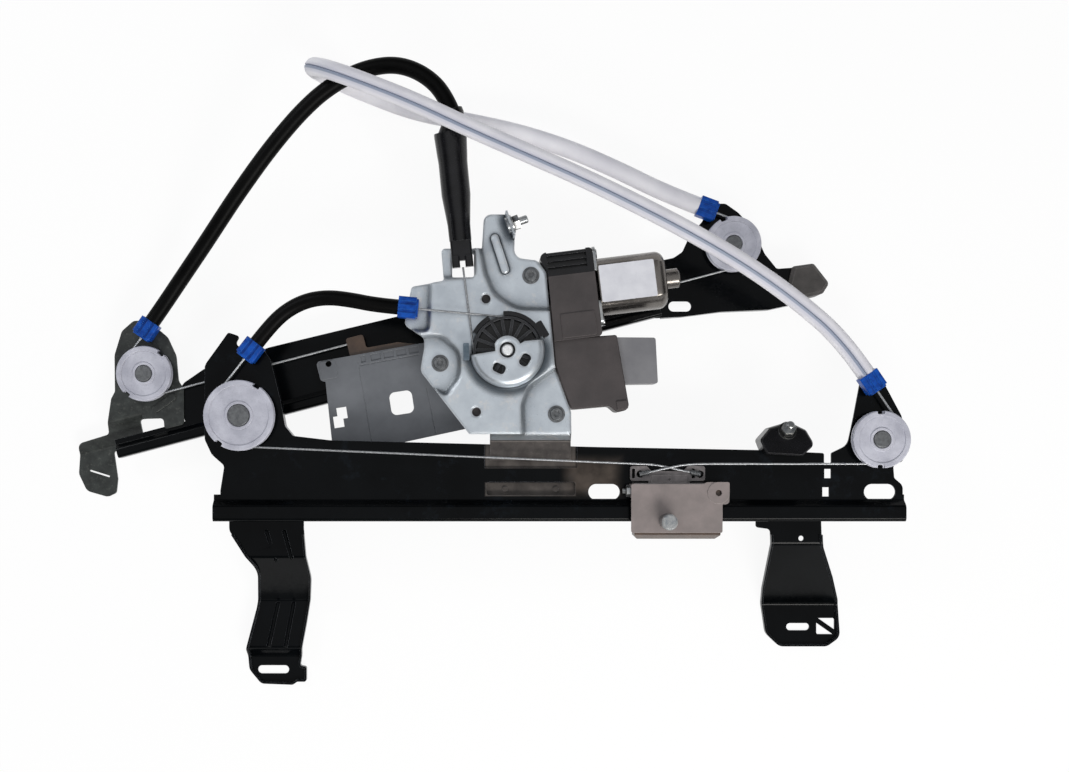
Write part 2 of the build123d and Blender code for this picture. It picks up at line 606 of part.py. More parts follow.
upper_flanges = (
    wall(flange_plane, [(46, -8.2), (100, -4.8), (202, -6.8), (429, -17.6)], 40, FLANGE_DROP),
    wall(flange_plane, [(480.5, 12.8), (487.2, 4.5), (496.2, -12.3), (499.2, -32), (505, -45)],
         6, FLANGE_DROP),
    wall(flange_plane, [(408, -60), (424, -63), (455, -67), (492, -75.2), (513, -76.2)], 12, FLANGE_DROP),
)
with BuildPart() as upper_rail:
    with BuildSketch(UPPER.offset(UPPER_FACE - GAUGE)):
        outline(*UPPER_WEB)
        with Locations(Location((424, -55.5, 0), (0, 0, -UPPER_TILT))):
            SlotOverall(18, 8, mode=Mode.SUBTRACT)
        with Locations((UPPER_RIGHT_U, UPPER_RIGHT_V)):
            Circle(RIVET_NECK_R, mode=Mode.SUBTRACT)
    extrude(amount=GAUGE)
    add(upper_lip)
    for flange in upper_flanges:
        add(flange)
    # small pressed boss beside the right pulley's ferrule
    with BuildSketch(UPPER.offset(UPPER_FACE)):
        with Locations((453, -4.5)):
            Circle(2.6)
    extrude(amount=1.5)
finish(upper_rail, "upper_rail")

BRACKET_GAUGE = 2.0
LEFT_BRACKET = (
    (1, 43.5, 5), (-10, 38, 7), (-20.5, 21, 10), (-27.5, -7, 4), (-32, -12, 4), (-43, -38, 4),
    (-69.7, -39, 7), (-77.4, -62, 8), (-74.6, -77, 7), (-59.4, -86, 6), (-52, -84.5, 3), (-48, -74, 8),
    (-45.5, -52, 3), (-28, -47.5, 3), (-19, -46, 3), (-15, -33, 3), (4.5, -37.5, 3), (3, -46, 2),
    (19, -46, 3), (26, -19, 3), (23.5, -12, 8), (26.8, 8, 12), (24, 24, 8), (12, 41, 6),
)
BRACKET_ROUTE = (
    (60, UPPER_FACE + 1), (-29, UPPER_FACE + 1), (-47, BRACKET_GAUGE / 2), (-100, BRACKET_GAUGE / 2))
bracket_sheet = folded_strip(UPPER_SECTION.offset(-90), BRACKET_ROUTE, 4, 79, BRACKET_GAUGE)
bracket_trim = prism(UPPER, LEFT_BRACKET, 40)
with BuildPart() as upper_left_bracket:
    add(bracket_sheet)
    with BuildSketch(UPPER.offset(UPPER_FACE)):
        with Locations((-11.5, 60)):
            Rectangle(60, 120, align=(Align.MIN, Align.MAX))
    extrude(amount=BRACKET_GAUGE)
    add(bracket_trim, mode=Mode.INTERSECT)
    with BuildSketch(UPPER):
        Circle(RIVET_NECK_R)
        # narrow slit across the foot
        with Locations(Location((-61, -66, 0), (0, 0, -32))):
            SlotOverall(17, 1.4)
    extrude(amount=40, mode=Mode.SUBTRACT)
    # stiffening bead down the sloping leg's flat top
    with BuildSketch(UPPER.offset(UPPER_FACE + BRACKET_GAUGE)):
        with Locations(Location((8, -26, 0), (0, 0, 20))):
            SlotOverall(22, 5)
    extrude(amount=1.2)
finish(upper_left_bracket, "upper_left_bracket")

BUMPER = ((511, -61, 3), (518, -47.5, 3), (535, -49.5, 3), (543, -68, 4), (536, -74.5, 3), (514, -74, 3))
bumper_slot = prism(UPPER.offset(UPPER_FACE - GAUGE), UPPER_WEB, GAUGE)
with BuildPart() as end_bumper:
    with BuildSketch(UPPER):
        outline(*BUMPER)
    extrude(amount=UPPER_FACE + 5)
    chamfer(end_bumper.faces().sort_by(Axis.Z)[-1].edges(), 2.5)
    add(bumper_slot, mode=Mode.SUBTRACT)
    for flange in upper_flanges:
        add(flange, mode=Mode.SUBTRACT)
finish(end_bumper, "end_bumper")


# ---- gearbox and motor --------------------------------------------------------------------
HOUSING_R = 39.5
BRUSH_BLOCK = ((-42, -38, 3), (-2, -38, 3), (-2, 29.5, 3), (-42, 29.5, 5))
WORM_TUBE = ((-104, -14, 5), (-40, -14, 0), (-40, 14, 0), (-104, 14, 5))
CONTROL_BOX = (
    (-44, -36, 2), (9, -38.5, 2), (11.5, -90, 4), (12, -96, 5), (2, -97, 4), (-3, -91.5, 4),
    (-33, -90.5, 5),
)
CONNECTOR = ((8, -40, 1), (38.5, -44, 2), (36, -79, 2), (8, -76, 1))
BLOCK_FRONT = 74.0
BOX_FRONT = 71.0
WHEEL_CHAMBER_R = 36.0
with BuildPart() as screw_arms:
    for spot in (*SCREWS, DOWEL):
        reach = Vector(*spot) - Vector(*DRUM)
        with BuildSketch(Plane.XY.offset(HOUSING_BACK + 9)):
            with Locations(Location((*DRUM, 0), (0, 0, degrees(atan2(reach.Y, reach.X))))):
                with Locations((reach.length / 2, 0)):
                    SlotOverall(reach.length + 17, 17)
        extrude(amount=HOUSING_FRONT - HOUSING_BACK - 9)
with BuildPart() as worm_bore:
    with BuildSketch(MOTOR_SECTION.offset(-98)):
        with Locations((0, MOTOR_AXIS)):
            Circle(7.2)
    extrude(amount=54)
    with BuildSketch(MOTOR_SECTION.offset(-40)):
        with Locations((0, MOTOR_AXIS)):
            Circle(13.5)
    extrude(amount=38)
    with BuildSketch(MOTOR_SECTION.offset(-46)):
        with Locations((0, MOTOR_AXIS)):
            Circle(3.6)
    extrude(amount=8)
with BuildPart() as gearbox_housing:
    with BuildSketch(Plane.XY.offset(HOUSING_BACK + 2.5)):
        with Locations(DRUM):
            Circle(HOUSING_R)
    extrude(amount=HOUSING_FRONT - HOUSING_BACK - 2.5)
    add(screw_arms.part)
    with BuildSketch(MOTOR_PLANE.offset(HOUSING_BACK + 2.5)):
        outline(*WORM_TUBE)
    extrude(amount=HOUSING_FRONT - HOUSING_BACK - 2.5)
    with BuildSketch(MOTOR_PLANE.offset(HOUSING_BACK - 1)):
        outline(*BRUSH_BLOCK)
    extrude(amount=BLOCK_FRONT - HOUSING_BACK + 1)
    with BuildSketch(Plane.XY.offset(HOUSING_BACK - 2)):
        with Locations(DRUM):
            Circle(HOUSING_R)
    extrude(amount=4.5, mode=Mode.SUBTRACT)
    # the blocks stop short of the gear plate's edge
    with BuildSketch(Plane.XY.offset(HOUSING_FRONT)):
        outline(*PLATE)
        offset(amount=1.2, mode=Mode.REPLACE)
    extrude(amount=20, mode=Mode.SUBTRACT)
    # ribs and a lower shelf on the block's upper corner
    with BuildSketch(MOTOR_PLANE.offset(BLOCK_FRONT - 6)):
        with Locations((-22, 23)):
            Rectangle(30, 15)
    extrude(amount=8, mode=Mode.SUBTRACT)
    with BuildSketch(MOTOR_PLANE.offset(BLOCK_FRONT - 8)):
        for t in (18.5, 23, 27.5):
            with Locations((-22, t)):
                Rectangle(30, 1.6)
    extrude(amount=6.5)
    with BuildSketch(MOTOR_PLANE.offset(BLOCK_FRONT)):
        with Locations((-19, -27.5)):
            RectangleRounded(26, 18, 1)
    extrude(amount=1)
    with BuildSketch(Plane.XY.offset(HOUSING_BACK + 2)):
        with Locations(DRUM):
            Circle(WHEEL_CHAMBER_R)
    extrude(amount=HOUSING_FRONT - HOUSING_BACK - 4.5, mode=Mode.SUBTRACT)
    add(worm_bore.part, mode=Mode.SUBTRACT)
    with BuildSketch(Plane.XY.offset(HOUSING_BACK)):
        with Locations(DRUM):
            Circle(SHAFT_R + 2)
        with Locations(*SCREWS):
            Circle(SCREW_R)
    extrude(amount=30, mode=Mode.SUBTRACT)
finish(gearbox_housing, "gearbox_housing")

with BuildPart() as output_bush:
    for low, high in ((HOUSING_BACK, HOUSING_BACK + 2.5), (HOUSING_FRONT - 2.5, HOUSING_FRONT + 1.5)):
        with BuildSketch(Plane.XY.offset(low)):
            with Locations(DRUM):
                Circle(SHAFT_R + 2)
                Circle(SHAFT_R + FIT, mode=Mode.SUBTRACT)
        extrude(amount=high - low)
finish(output_bush, "output_bushes")

with BuildPart() as gearbox_cover:
    with BuildSketch(Plane.XY.offset(HOUSING_BACK)):
        with Locations(DRUM):
            Circle(HOUSING_R)
    extrude(amount=2.5)
    with BuildSketch(Plane.XY.offset(HOUSING_BACK - 1.5)):
        with Locations(DRUM):
            Circle(30)
            Circle(26, mode=Mode.SUBTRACT)
            Circle(12)
            with PolarLocations(20, 6):
                Rectangle(18, 2)
    extrude(amount=1.5)
    with BuildSketch(Plane.XY.offset(HOUSING_BACK)):
        with Locations(DRUM):
            Circle(SHAFT_R + 2)
    extrude(amount=2.5, mode=Mode.SUBTRACT)
finish(gearbox_cover, "gearbox_cover")

with BuildPart() as control_box:
    with BuildSketch(MOTOR_PLANE.offset(HOUSING_BACK + 4)):
        outline(*CONTROL_BOX)
    extrude(amount=BOX_FRONT - HOUSING_BACK - 4)
    chamfer(control_box.faces().sort_by(Axis.Z)[-1].edges(), 0.8)
    with BuildSketch(Plane.XY.offset(HOUSING_BACK)):
        with Locations(DRUM):
            Circle(HOUSING_R + 0.2)
        with Locations(SCREWS[2]):
            Circle(8.7)
        outline(*PLATE)
    extrude(amount=HOUSING_FRONT - HOUSING_BACK, mode=Mode.SUBTRACT)
    with BuildSketch(MOTOR_PLANE.offset(HOUSING_BACK)):
        outline(*BRUSH_BLOCK)
    extrude(amount=BLOCK_FRONT, mode=Mode.SUBTRACT)
    with BuildSketch(Plane.XY.offset(HOUSING_FRONT)):
        outline(*PLATE)
        offset(amount=1.2, mode=Mode.REPLACE)
    extrude(amount=20, mode=Mode.SUBTRACT)
    with BuildSketch(MOTOR_PLANE.offset(BOX_FRONT)):
        with Locations((6.5, -92)):
            Rectangle(8, 6)
    extrude(amount=1.5)
finish(control_box, "control_box")

with BuildPart() as connector:
    with BuildSketch(MOTOR_PLANE.offset(50)):
        outline(*CONNECTOR)
    extrude(amount=17)
    add(control_box.part, mode=Mode.SUBTRACT)
    # the socket opens away from the box
    with BuildSketch(MOTOR_SECTION.offset(40)):
        with Locations((-61, 58.5)):
            Rectangle(30, 13)
    extrude(amount=-18, mode=Mode.SUBTRACT)
    with BuildSketch(MOTOR_SECTION.offset(22)):
        with Locations((-61, 58.5)):
            with GridLocations(5, 5, 5, 2):
                Rectangle(1, 1)
    extrude(amount=9)
finish(connector, "connector")

with BuildPart() as motor_can:
    with BuildSketch(MOTOR_SECTION):
        with Locations((0, MOTOR_AXIS)):
            Circle(CAN_R)
            Rectangle(2 * CAN_R + 2, 2 * CAN_FLAT, mode=Mode.INTERSECT)
    extrude(amount=CAN_LENGTH)
    far = motor_can.faces().sort_by(Axis.X)[-1]
    fillet(far.edges(), 6.5)
    with BuildSketch(MOTOR_SECTION.offset(CAN_LENGTH - 1)):
        with Locations((0, MOTOR_AXIS)):
            Circle(7.5)
    extrude(amount=12)
    chamfer(motor_can.faces().sort_by(Axis.X)[-1].edges(), 1)
    with BuildSketch(MOTOR_SECTION):
        with Locations((0, MOTOR_AXIS)):
            Circle(CAN_R - GAUGE)
            Rectangle(2 * CAN_R, 2 * (CAN_FLAT - GAUGE), mode=Mode.INTERSECT)
    extrude(amount=CAN_LENGTH - 5, mode=Mode.SUBTRACT)
    with BuildSketch(MOTOR_SECTION):
        with Locations((0, MOTOR_AXIS)):
            Circle(4)
    extrude(amount=CAN_LENGTH + 8, mode=Mode.SUBTRACT)
    # flange that two screws hold to the gearbox
    with BuildSketch(MOTOR_SECTION.offset(-2)):
        with Locations((0, MOTOR_AXIS)):
            RectangleRounded(60, 34, 5)
            Circle(CAN_R - GAUGE, mode=Mode.SUBTRACT)
            with Locations((-26, 0), (26, 0)):
                Circle(2, mode=Mode.SUBTRACT)
    extrude(amount=2)
finish(motor_can, "motor_can")

with BuildPart() as motor_screws:
    for t in (-26, 26):
        with BuildSketch(MOTOR_SECTION):
            with Locations((t, MOTOR_AXIS)):
                Circle(3.6)
        extrude(amount=2.4)
        with BuildSketch(MOTOR_SECTION.offset(-2)):
            with Locations((t, MOTOR_AXIS)):
                Circle(2)
        extrude(amount=2)
finish(motor_screws, "motor_screws")

with BuildPart() as magnets:
    with BuildSketch(MOTOR_SECTION.offset(6)):
        with Locations((0, MOTOR_AXIS)):
            Circle(CAN_R - GAUGE)
            Circle(16, mode=Mode.SUBTRACT)
            Rectangle(60, 22, mode=Mode.INTERSECT)
    extrude(amount=36)
finish(magnets, "magnets")

with BuildPart() as brush_holder:
    with BuildSketch(MOTOR_SECTION.offset(-10)):
        with Locations((0, MOTOR_AXIS)):
            Circle(13.5)
            Circle(8.5, mode=Mode.SUBTRACT)
    extrude(amount=7)
finish(brush_holder, "brush_holder")

with BuildPart() as shaft_bushes:
    for start, outer in ((CAN_LENGTH + 1, 4), (-46, 3.6)):
        with BuildSketch(MOTOR_SECTION.offset(start)):
            with Locations((0, MOTOR_AXIS)):
                Circle(outer)
                Circle(2.5 + FIT, mode=Mode.SUBTRACT)
        extrude(amount=6)
finish(shaft_bushes, "shaft_bushes")

with BuildPart() as armature:
    for start, length, r in ((-96, 154, 2.5), (8, 32, 13), (-9, 9, 7.5), (-94, 36, 5.6)):
        with BuildSketch(MOTOR_SECTION.offset(start)):
            with Locations((0, MOTOR_AXIS)):
                Circle(r)
        extrude(amount=length)
    with BuildSketch(MOTOR_SECTION.offset(7)):
        with Locations((0, MOTOR_AXIS)):
            with PolarLocations(11, 10):
                Rectangle(5, 1.6)
    extrude(amount=34, mode=Mode.SUBTRACT)
finish(armature, "armature")

with BuildPart() as plate_screws:
    for x, y in SCREWS:
        with BuildSketch(Plane.XY.offset(HOUSING_BACK + 11)):
            with Locations((x, y)):
                Circle(SCREW_R)
        extrude(amount=PLATE_FACE - PRESS - HOUSING_BACK - 11)
        with BuildSketch(Plane.XY.offset(PLATE_FACE - PRESS)):
            with Locations((x, y)):
                Circle(6.5)
        extrude(amount=1.2)
        with BuildSketch(Plane.XY.offset(PLATE_FACE - PRESS + 1.2)):
            with Locations((x, y)):
                Circle(5)
        extrude(amount=3, taper=12)
        with BuildSketch(Plane.XY.offset(PLATE_FACE - PRESS + 4.2)):
            with Locations((x, y)):
                RegularPolygon(2.6, 6)
        extrude(amount=-2, mode=Mode.SUBTRACT)
finish(plate_screws, "plate_screws")


# ---- studs and nuts -----------------------------------------------------------------------
NUT_ACROSS, NUT_HEIGHT, NUT_FLANGE_R = 10.0, 6.4, 7.0
STUD_DEPTH, STUD_FREE = 8.0, 6.0       # in the block, and free above a nut
STUD_PLANE = Plane(origin=(226, 4.4, 69), x_dir=(1, 0, 0), z_dir=(0, sin(radians(22)), cos(radians(22))))
STUD_BLOCK = (
    (204.8, -2.4, 3), (213, 6.7, 3), (228.4, 11.3, 4), (240.5, 5.2, 4), (246, -6, 5),
    (236, -14.5, 2), (209, -13, 2),
)
with BuildPart() as stud_block:
    with BuildSketch(Plane.XY.offset(LOWER_FACE - 10)):
        outline(*STUD_BLOCK)
    extrude(amount=30)
    with BuildSketch(STUD_PLANE):
        Rectangle(200, 200)
    extrude(amount=60, mode=Mode.SUBTRACT)
    chamfer(stud_block.faces().sort_by(Axis.Z)[-1].edges(), 1.2)
    add(lower_rail.part, mode=Mode.SUBTRACT)
    # the skirt behind the rail's flange is cut away
    with BuildSketch(Plane.XY.offset(LOWER_FACE - 11)):
        with Locations((226, -11.5)):
            Rectangle(60, 20, align=(Align.CENTER, Align.MAX))
    extrude(amount=11, mode=Mode.SUBTRACT)
    with BuildSketch(STUD_PLANE):
        Circle(THREAD_R)
    extrude(amount=-STUD_DEPTH, mode=Mode.SUBTRACT)
finish(stud_block, "stud_block")

SEATS = ((STUD_PLANE, 0.0, STUD_DEPTH), (ARM_STUD, GAUGE / 2, GAUGE))    # nut's seat, its height, grip
with BuildPart() as studs:
    for seat, lift, grip in SEATS:
        with BuildSketch(seat.offset(lift - grip)):
            Circle(THREAD_R)
        extrude(amount=grip + NUT_HEIGHT)
        with BuildSketch(seat.offset(lift + NUT_HEIGHT)):
            Circle(STUD_R)
        extrude(amount=STUD_FREE)
        with BuildSketch(seat.offset(lift + NUT_HEIGHT + STUD_FREE)):
            Circle(STUD_R)
        extrude(amount=0.7, taper=45)
    # weld head behind the arm's flange
    with BuildSketch(ARM_STUD.offset(-GAUGE / 2)):
        Circle(6)
    extrude(amount=-1.8)
finish(studs, "studs")

with BuildPart() as stud_nuts:
    for seat, lift, grip in SEATS:
        with BuildSketch(seat.offset(lift)):
            Circle(NUT_FLANGE_R)
            Circle(THREAD_R, mode=Mode.SUBTRACT)
        extrude(amount=1.4)
        with BuildSketch(seat.offset(lift + 1.4)):
            RegularPolygon(NUT_ACROSS / 2, 6, major_radius=False)
            Circle(THREAD_R, mode=Mode.SUBTRACT)
        extrude(amount=NUT_HEIGHT - 1.4)
finish(stud_nuts, "stud_nuts")


# ---- cable guides, tensioner and cables ---------------------------------------------------
GUIDE_LENGTH = 15.0
GUIDE_WIDTH = 16.0
PLATE_TIP = (-54.0, 96.4)
LOWER_LEFT_TIP = (-186.1, 59.5)
LOWER_RIGHT_TIP = (294.0, 35.1)
UPPER_RIGHT_TIP = (179.5, 177.6)
UPPER_LEFT_TIP = upper_point(4.9, 28.5, 0)[:2]
SPAN_R = 25.0              # where the straight cable meets the drum, outside the wound turns


def guide_plane(tip, centre, radius, side, height):
    """The plane at a guide's tip whose normal follows the cable to its pulley."""
    touch = on_circle(centre, radius, tangent_angle(centre, radius, tip, side))
    reach = Vector(touch[0] - tip[0], touch[1] - tip[1], 0).normalized()
    return Plane(origin=(tip[0], tip[1], height), x_dir=(-reach.Y, reach.X, 0), z_dir=(reach.X, reach.Y, 0))


def cable_guide(seat, floor):
    """A moulded guide that holds a sheath's end: ribbed block, collar, foot and cable bore."""
    drop = seat.origin.Z - floor
    with BuildPart() as guide:
        with BuildSketch(seat.offset(-GUIDE_LENGTH)):
            with Locations((0, 1)):
                RectangleRounded(GUIDE_WIDTH, 12, 1.6)
            with Locations((-3.1, 7), (3.1, 7)):
                Rectangle(2.6, 3, mode=Mode.SUBTRACT)
            with Locations((0, -drop / 2)):
                Rectangle(9, drop)
        extrude(amount=GUIDE_LENGTH - 1.5)
        with BuildSketch(seat.offset(-1.5)):
            with Locations((0, 1)):
                RectangleRounded(GUIDE_WIDTH - 2.4, 10, 1.4)
        extrude(amount=1.5)
        with BuildSketch(seat.offset(-GUIDE_LENGTH)):
            Circle(1.2)
        extrude(amount=GUIDE_LENGTH, mode=Mode.SUBTRACT)
    return guide.part


plate_seat = guide_plane(PLATE_TIP, DRUM, SPAN_R, -1, DRUM_CABLE + SPAN_LIFT)
lower_left_seat = guide_plane(LOWER_LEFT_TIP, LOWER_LEFT, LARGE_CABLE_R, 1, LOWER_CABLE)
lower_right_seat = guide_plane(LOWER_RIGHT_TIP, LOWER_RIGHT, PULLEY_CABLE_R, -1, LOWER_CABLE)
upper_right_seat = guide_plane(UPPER_RIGHT_TIP, upper_right, PULLEY_CABLE_R, -1, UPPER_CABLE)
upper_left_seat = guide_plane(UPPER_LEFT_TIP, UPPER_LEFT, PULLEY_CABLE_R, 1, UPPER_CABLE)
guides = (
    ("plate_cable_guide", plate_seat, PLATE_FACE - PRESS),
    ("lower_left_cable_guide", lower_left_seat, LOWER_FACE),
    ("lower_right_cable_guide", lower_right_seat, LOWER_FACE),
    ("upper_right_cable_guide", upper_right_seat, UPPER_FACE),
    ("upper_left_cable_guide", upper_left_seat, UPPER_FACE + BRACKET_GAUGE),
)
for name, seat, floor in guides:
    with BuildPart() as guide:
        add(cable_guide(seat, floor))
    finish(guide, name)

# the tensioner lies along its own axis, from its clip on the gear plate up to the boot
TENSIONER_TIP = (-20.3, 128.0, DRUM_CABLE - SPAN_LIFT)
TENSIONER_END = (-29.9, 227.0, 84.2)
SLEEVE_START = 20.0        # along the axis from the tip: the clip is below this
tensioner_dir = Vector(*TENSIONER_END) - Vector(*TENSIONER_TIP)
SLEEVE_END = tensioner_dir.length
TENSIONER = Plane(origin=TENSIONER_TIP, x_dir=(1, 0.097, 0), z_dir=tensioner_dir)
SLEEVE = (
    (SLEEVE_START, 8.4), (SLEEVE_START + 12, 8.6), (SLEEVE_START + 34, 10.9), (SLEEVE_START + 58, 10.9),
    (SLEEVE_START + 64, 11.4), (SLEEVE_END - 3, 12.2), (SLEEVE_END, 12.2),
)
TENSIONER_SECTION = Plane(origin=TENSIONER.origin, x_dir=TENSIONER.x_dir, z_dir=-TENSIONER.y_dir)
with BuildPart() as tensioner_sleeve:
    with BuildSketch(TENSIONER_SECTION):
        with BuildLine():
            Polyline(
                (3, SLEEVE_START), *[(r, s) for s, r in SLEEVE], (9.6, SLEEVE_END),
                (7.6, SLEEVE_END - 14), (7.6, SLEEVE_START + 8), (3, SLEEVE_START + 8), close=True)
        make_face()
    revolve(axis=Axis(TENSIONER.origin, TENSIONER.z_dir))
    # raised guide ribs along the waist
    with BuildSketch(TENSIONER.offset(SLEEVE_START)):
        with PolarLocations(8.4, 4, start_angle=45):
            Rectangle(2.4, 3)
        Circle(8, mode=Mode.SUBTRACT)
    extrude(amount=20)
    # clip: two jaws with an end stop, hooked through the plate's window
    with BuildSketch(TENSIONER.offset(5)):
        RectangleRounded(16, 12, 2)
        Circle(2, mode=Mode.SUBTRACT)
    extrude(amount=SLEEVE_START - 5)
    with BuildSketch(TENSIONER):
        with Locations((-5, 0), (5, 0)):
            RectangleRounded(6, 15, 1.5)
    extrude(amount=8.5)
finish(tensioner_sleeve, "tensioner_sleeve")

SPRING_R = 6.2
SPRING_TURNS = 7
SPRING_WIRE_R = 0.8
with BuildPart() as tensioner_spring:
    with BuildLine():
        turns = Helix(4.0, 4.0 * SPRING_TURNS, SPRING_R)
    with BuildSketch(Plane(origin=turns @ 0, z_dir=turns % 0)):
        RegularPolygon(SPRING_WIRE_R, 6)
    sweep(path=turns, is_frenet=True)
tensioner_spring.part = tensioner_spring.part.moved(TENSIONER.offset(SLEEVE_START + 10).location)
finish(tensioner_spring, "tensioner_spring")

BOOT_PLANE = Plane(origin=(-27.3, 240.0, 84.2), z_dir=(-6.8, 16.9, 0))
with BuildPart() as tensioner_boot:
    with BuildSketch(TENSIONER.offset(SLEEVE_END)):
        Circle(9.4)
    with BuildSketch(BOOT_PLANE):
        Circle(8.4)
    loft()
    with BuildSketch(BOOT_PLANE):
        Circle(8.4)
        Circle(6.5, mode=Mode.SUBTRACT)
    extrude(amount=4)
finish(tensioner_boot, "tensioner_boot")


def cord(route, diameter, name):
    """A round cord: straight runs joined by the largest arcs that they allow."""
    radii = []
    for before, corner, after in zip(route, route[1:], route[2:]):
        back, on = Vector(*before) - Vector(*corner), Vector(*after) - Vector(*corner)
        turn = radians(180 - back.get_angle(on))
        radii.append(0.45 * min(back.length, on.length) / tan(turn / 2))
    with BuildPart() as tube:
        with BuildLine():
            centre = FilletPolyline(*route, radius=radii)
        with BuildSketch(Plane(origin=route[0], z_dir=centre % 0)):
            Circle(diameter / 2)
        sweep(path=centre)
    share = tube.part.volume / (pi * diameter ** 2 / 4 * centre.length)
    print(name, "length", round(centre.length, 1), "smallest radius", round(min(radii), 1),
          "volume over section times length", round(share, 4))
    finish(tube, name)


def behind(seat, run=0.0):
    """A point in line with a cable guide, run behind its back face, where its sheath starts."""
    back = seat.origin - seat.z_dir * (GUIDE_LENGTH + run)
    return back.X, back.Y, back.Z


SHORT_ROUTE = (
    behind(plate_seat), behind(plate_seat, 17.6), (-104.8, 103.2, 76.9), (-121.9, 105.3, 76.2),
    (-138.2, 103.2, 74.4), (-153.2, 96.3, 71.9), behind(lower_left_seat, 17.6), behind(lower_left_seat),
)
LONG_ROUTE = (
    behind(upper_left_seat), behind(upper_left_seat, 16), (-245.3, 120.7, 30.5), (-233, 136.3, 36.5),
    (-220.7, 151.8, 43), (-208.6, 167.6, 49.3), (-196.5, 183.5, 55), (-184, 199.3, 60),
    (-171.1, 215.3, 64.3), (-157.5, 230.9, 68.2), (-143.1, 246, 71.8), (-127.3, 259.7, 75),
    (-109.3, 270.6, 78), (-89.6, 277.7, 80.7), (-68.7, 279.2, 82.9), (-49.2, 271.5, 84),
    (-34.1, 256.9, 84.2), (-27.3, 240.0, 84.2),
)
WHITE_ROUTE = (
    behind(lower_right_seat), behind(lower_right_seat, 32), (231.7, 103.2, 75.5), (193.2, 128.4, 83.4),
    (152.9, 150.4, 90.8), (111.6, 170.5, 96.9), (69.8, 189.7, 101.7), (27.4, 207.5, 105.6),
    (-15, 225.4, 108.5), (-56.9, 244.8, 110.2), (-99.7, 261.4, 110.2), (-121.8, 272.1, 96.7),
    (-134.6, 280.6, 73.3), (-134.6, 284.7, 46.3), (-121.8, 283.4, 22.9), (-99.7, 276.9, 9.4),
    (-59, 261.2, 9.4), (-17.9, 251.9, 18.6), (23.2, 241.5, 25.1), (63.6, 227.9, 27.9),
    (102.8, 210.7, 28), behind(upper_right_seat, 28), behind(upper_right_seat),
)
cord(SHORT_ROUTE, SHEATH_SHORT, "short_sheath")
cord(LONG_ROUTE, SHEATH_LONG, "long_sheath")
cord(WHITE_ROUTE, SHEATH_WHITE, "white_sheath")


def cable_round(tip, centre, radius, side, end, height):
    """Cable from a guide's tip, round part of a pulley, to its far end, all at one height."""
    first = tangent_angle(centre, radius, tip, side)
    last = tangent_angle(centre, radius, end, -side)
    turn = side * ((side * (last - first)) % (2 * pi))
    with BuildPart() as cable:
        with BuildLine(Plane.XY.offset(height)) as path:
            Line(tip, on_circle(centre, radius, first))
            CenterArc(centre, radius, degrees(first), degrees(turn))
            Line(on_circle(centre, radius, last), end)
        with BuildSketch(Plane(origin=(*tip, height), z_dir=path.line % 0)):
            Circle(CABLE_R)
        sweep()
    return cable.part


def drum_span(tip, side, height):
    """The straight cable from a tip on the gear plate to the side of the drum."""
    touch = on_circle(DRUM, SPAN_R, tangent_angle(DRUM, SPAN_R, tip, side))
    return rod((*tip, height), (*touch, height), CABLE_R)


LOWER_ENDS = ((110.0, -20.4), (160.0, -20.5))            # where the cable reaches the lower carrier
UPPER_ENDS = ((163.0, -18.3), (244.0, -37.5))            # along and across the upper rail
upper_ends = [upper_point(u, v, 0)[:2] for u, v in UPPER_ENDS]
with BuildPart() as lower_left_cable:
    add(drum_span(PLATE_TIP, -1, DRUM_CABLE + SPAN_LIFT))
    add(cable_round(LOWER_LEFT_TIP, LOWER_LEFT, LARGE_CABLE_R, 1, LOWER_ENDS[0], LOWER_CABLE))
finish(lower_left_cable, "lower_left_cable")
with BuildPart() as crossing_cable:
    add(cable_round(LOWER_RIGHT_TIP, LOWER_RIGHT, PULLEY_CABLE_R, -1, LOWER_ENDS[1], LOWER_CABLE))
    add(cable_round(UPPER_RIGHT_TIP, upper_right, PULLEY_CABLE_R, -1, upper_ends[1], UPPER_CABLE))
finish(crossing_cable, "crossing_cable")
with BuildPart() as upper_left_cable:
    add(drum_span(TENSIONER_TIP[:2], 1, DRUM_CABLE - SPAN_LIFT))
    add(cable_round(UPPER_LEFT_TIP, UPPER_LEFT, PULLEY_CABLE_R, 1, upper_ends[0], UPPER_CABLE))
finish(upper_left_cable, "upper_left_cable")


# ---- window carriers ----------------------------------------------------------------------
LOWER_PLATE_FACE = 78.0
LOWER_PLATE = (
    (106.5, -35.6, 1.5), (161, -35.6, 0.5), (163.5, -34.2, 2), (180.4, -34.2, 3), (180.4, -50.6, 3),
    (175.2, -51, 0.5), (175.2, -72.4, 1.5), (106.5, -72.4, 1.5),
)
LOWER_EAR = (172.2, -42.3)
GLASS_PIN = (133.3, -63.7)
GLASS_PIN_R = 6.0
GLASS_PIN_HEIGHT = 16.0
SLIDER_SECTION = (
    (-35, 76), (-35, 62.5), (-47.2, 62.5), (-51.8, 68.5), (-64.9, 68.5), (-64.9, 57.5), (-69.5, 57.5),
    (-69.5, 60.3), (-77.5, 60.3), (-77.5, 68), (-74, 76),
)
HOLDER = (
    (107, -22.1, 2), (119.5, -22.1, 2), (123, -26, 2), (147.5, -26, 2), (151, -22.1, 2), (163.8, -22.1, 2),
    (163.8, -33.5, 2), (152, -33.5, 1), (152, -37, 0), (121, -37, 0), (121, -33.5, 1), (107, -33.5, 2),
)
HOLDER_TOP = 67.5
NIPPLES = ((114.5, -28.3), (160.0, -28.3))
NIPPLE_R = 2.6
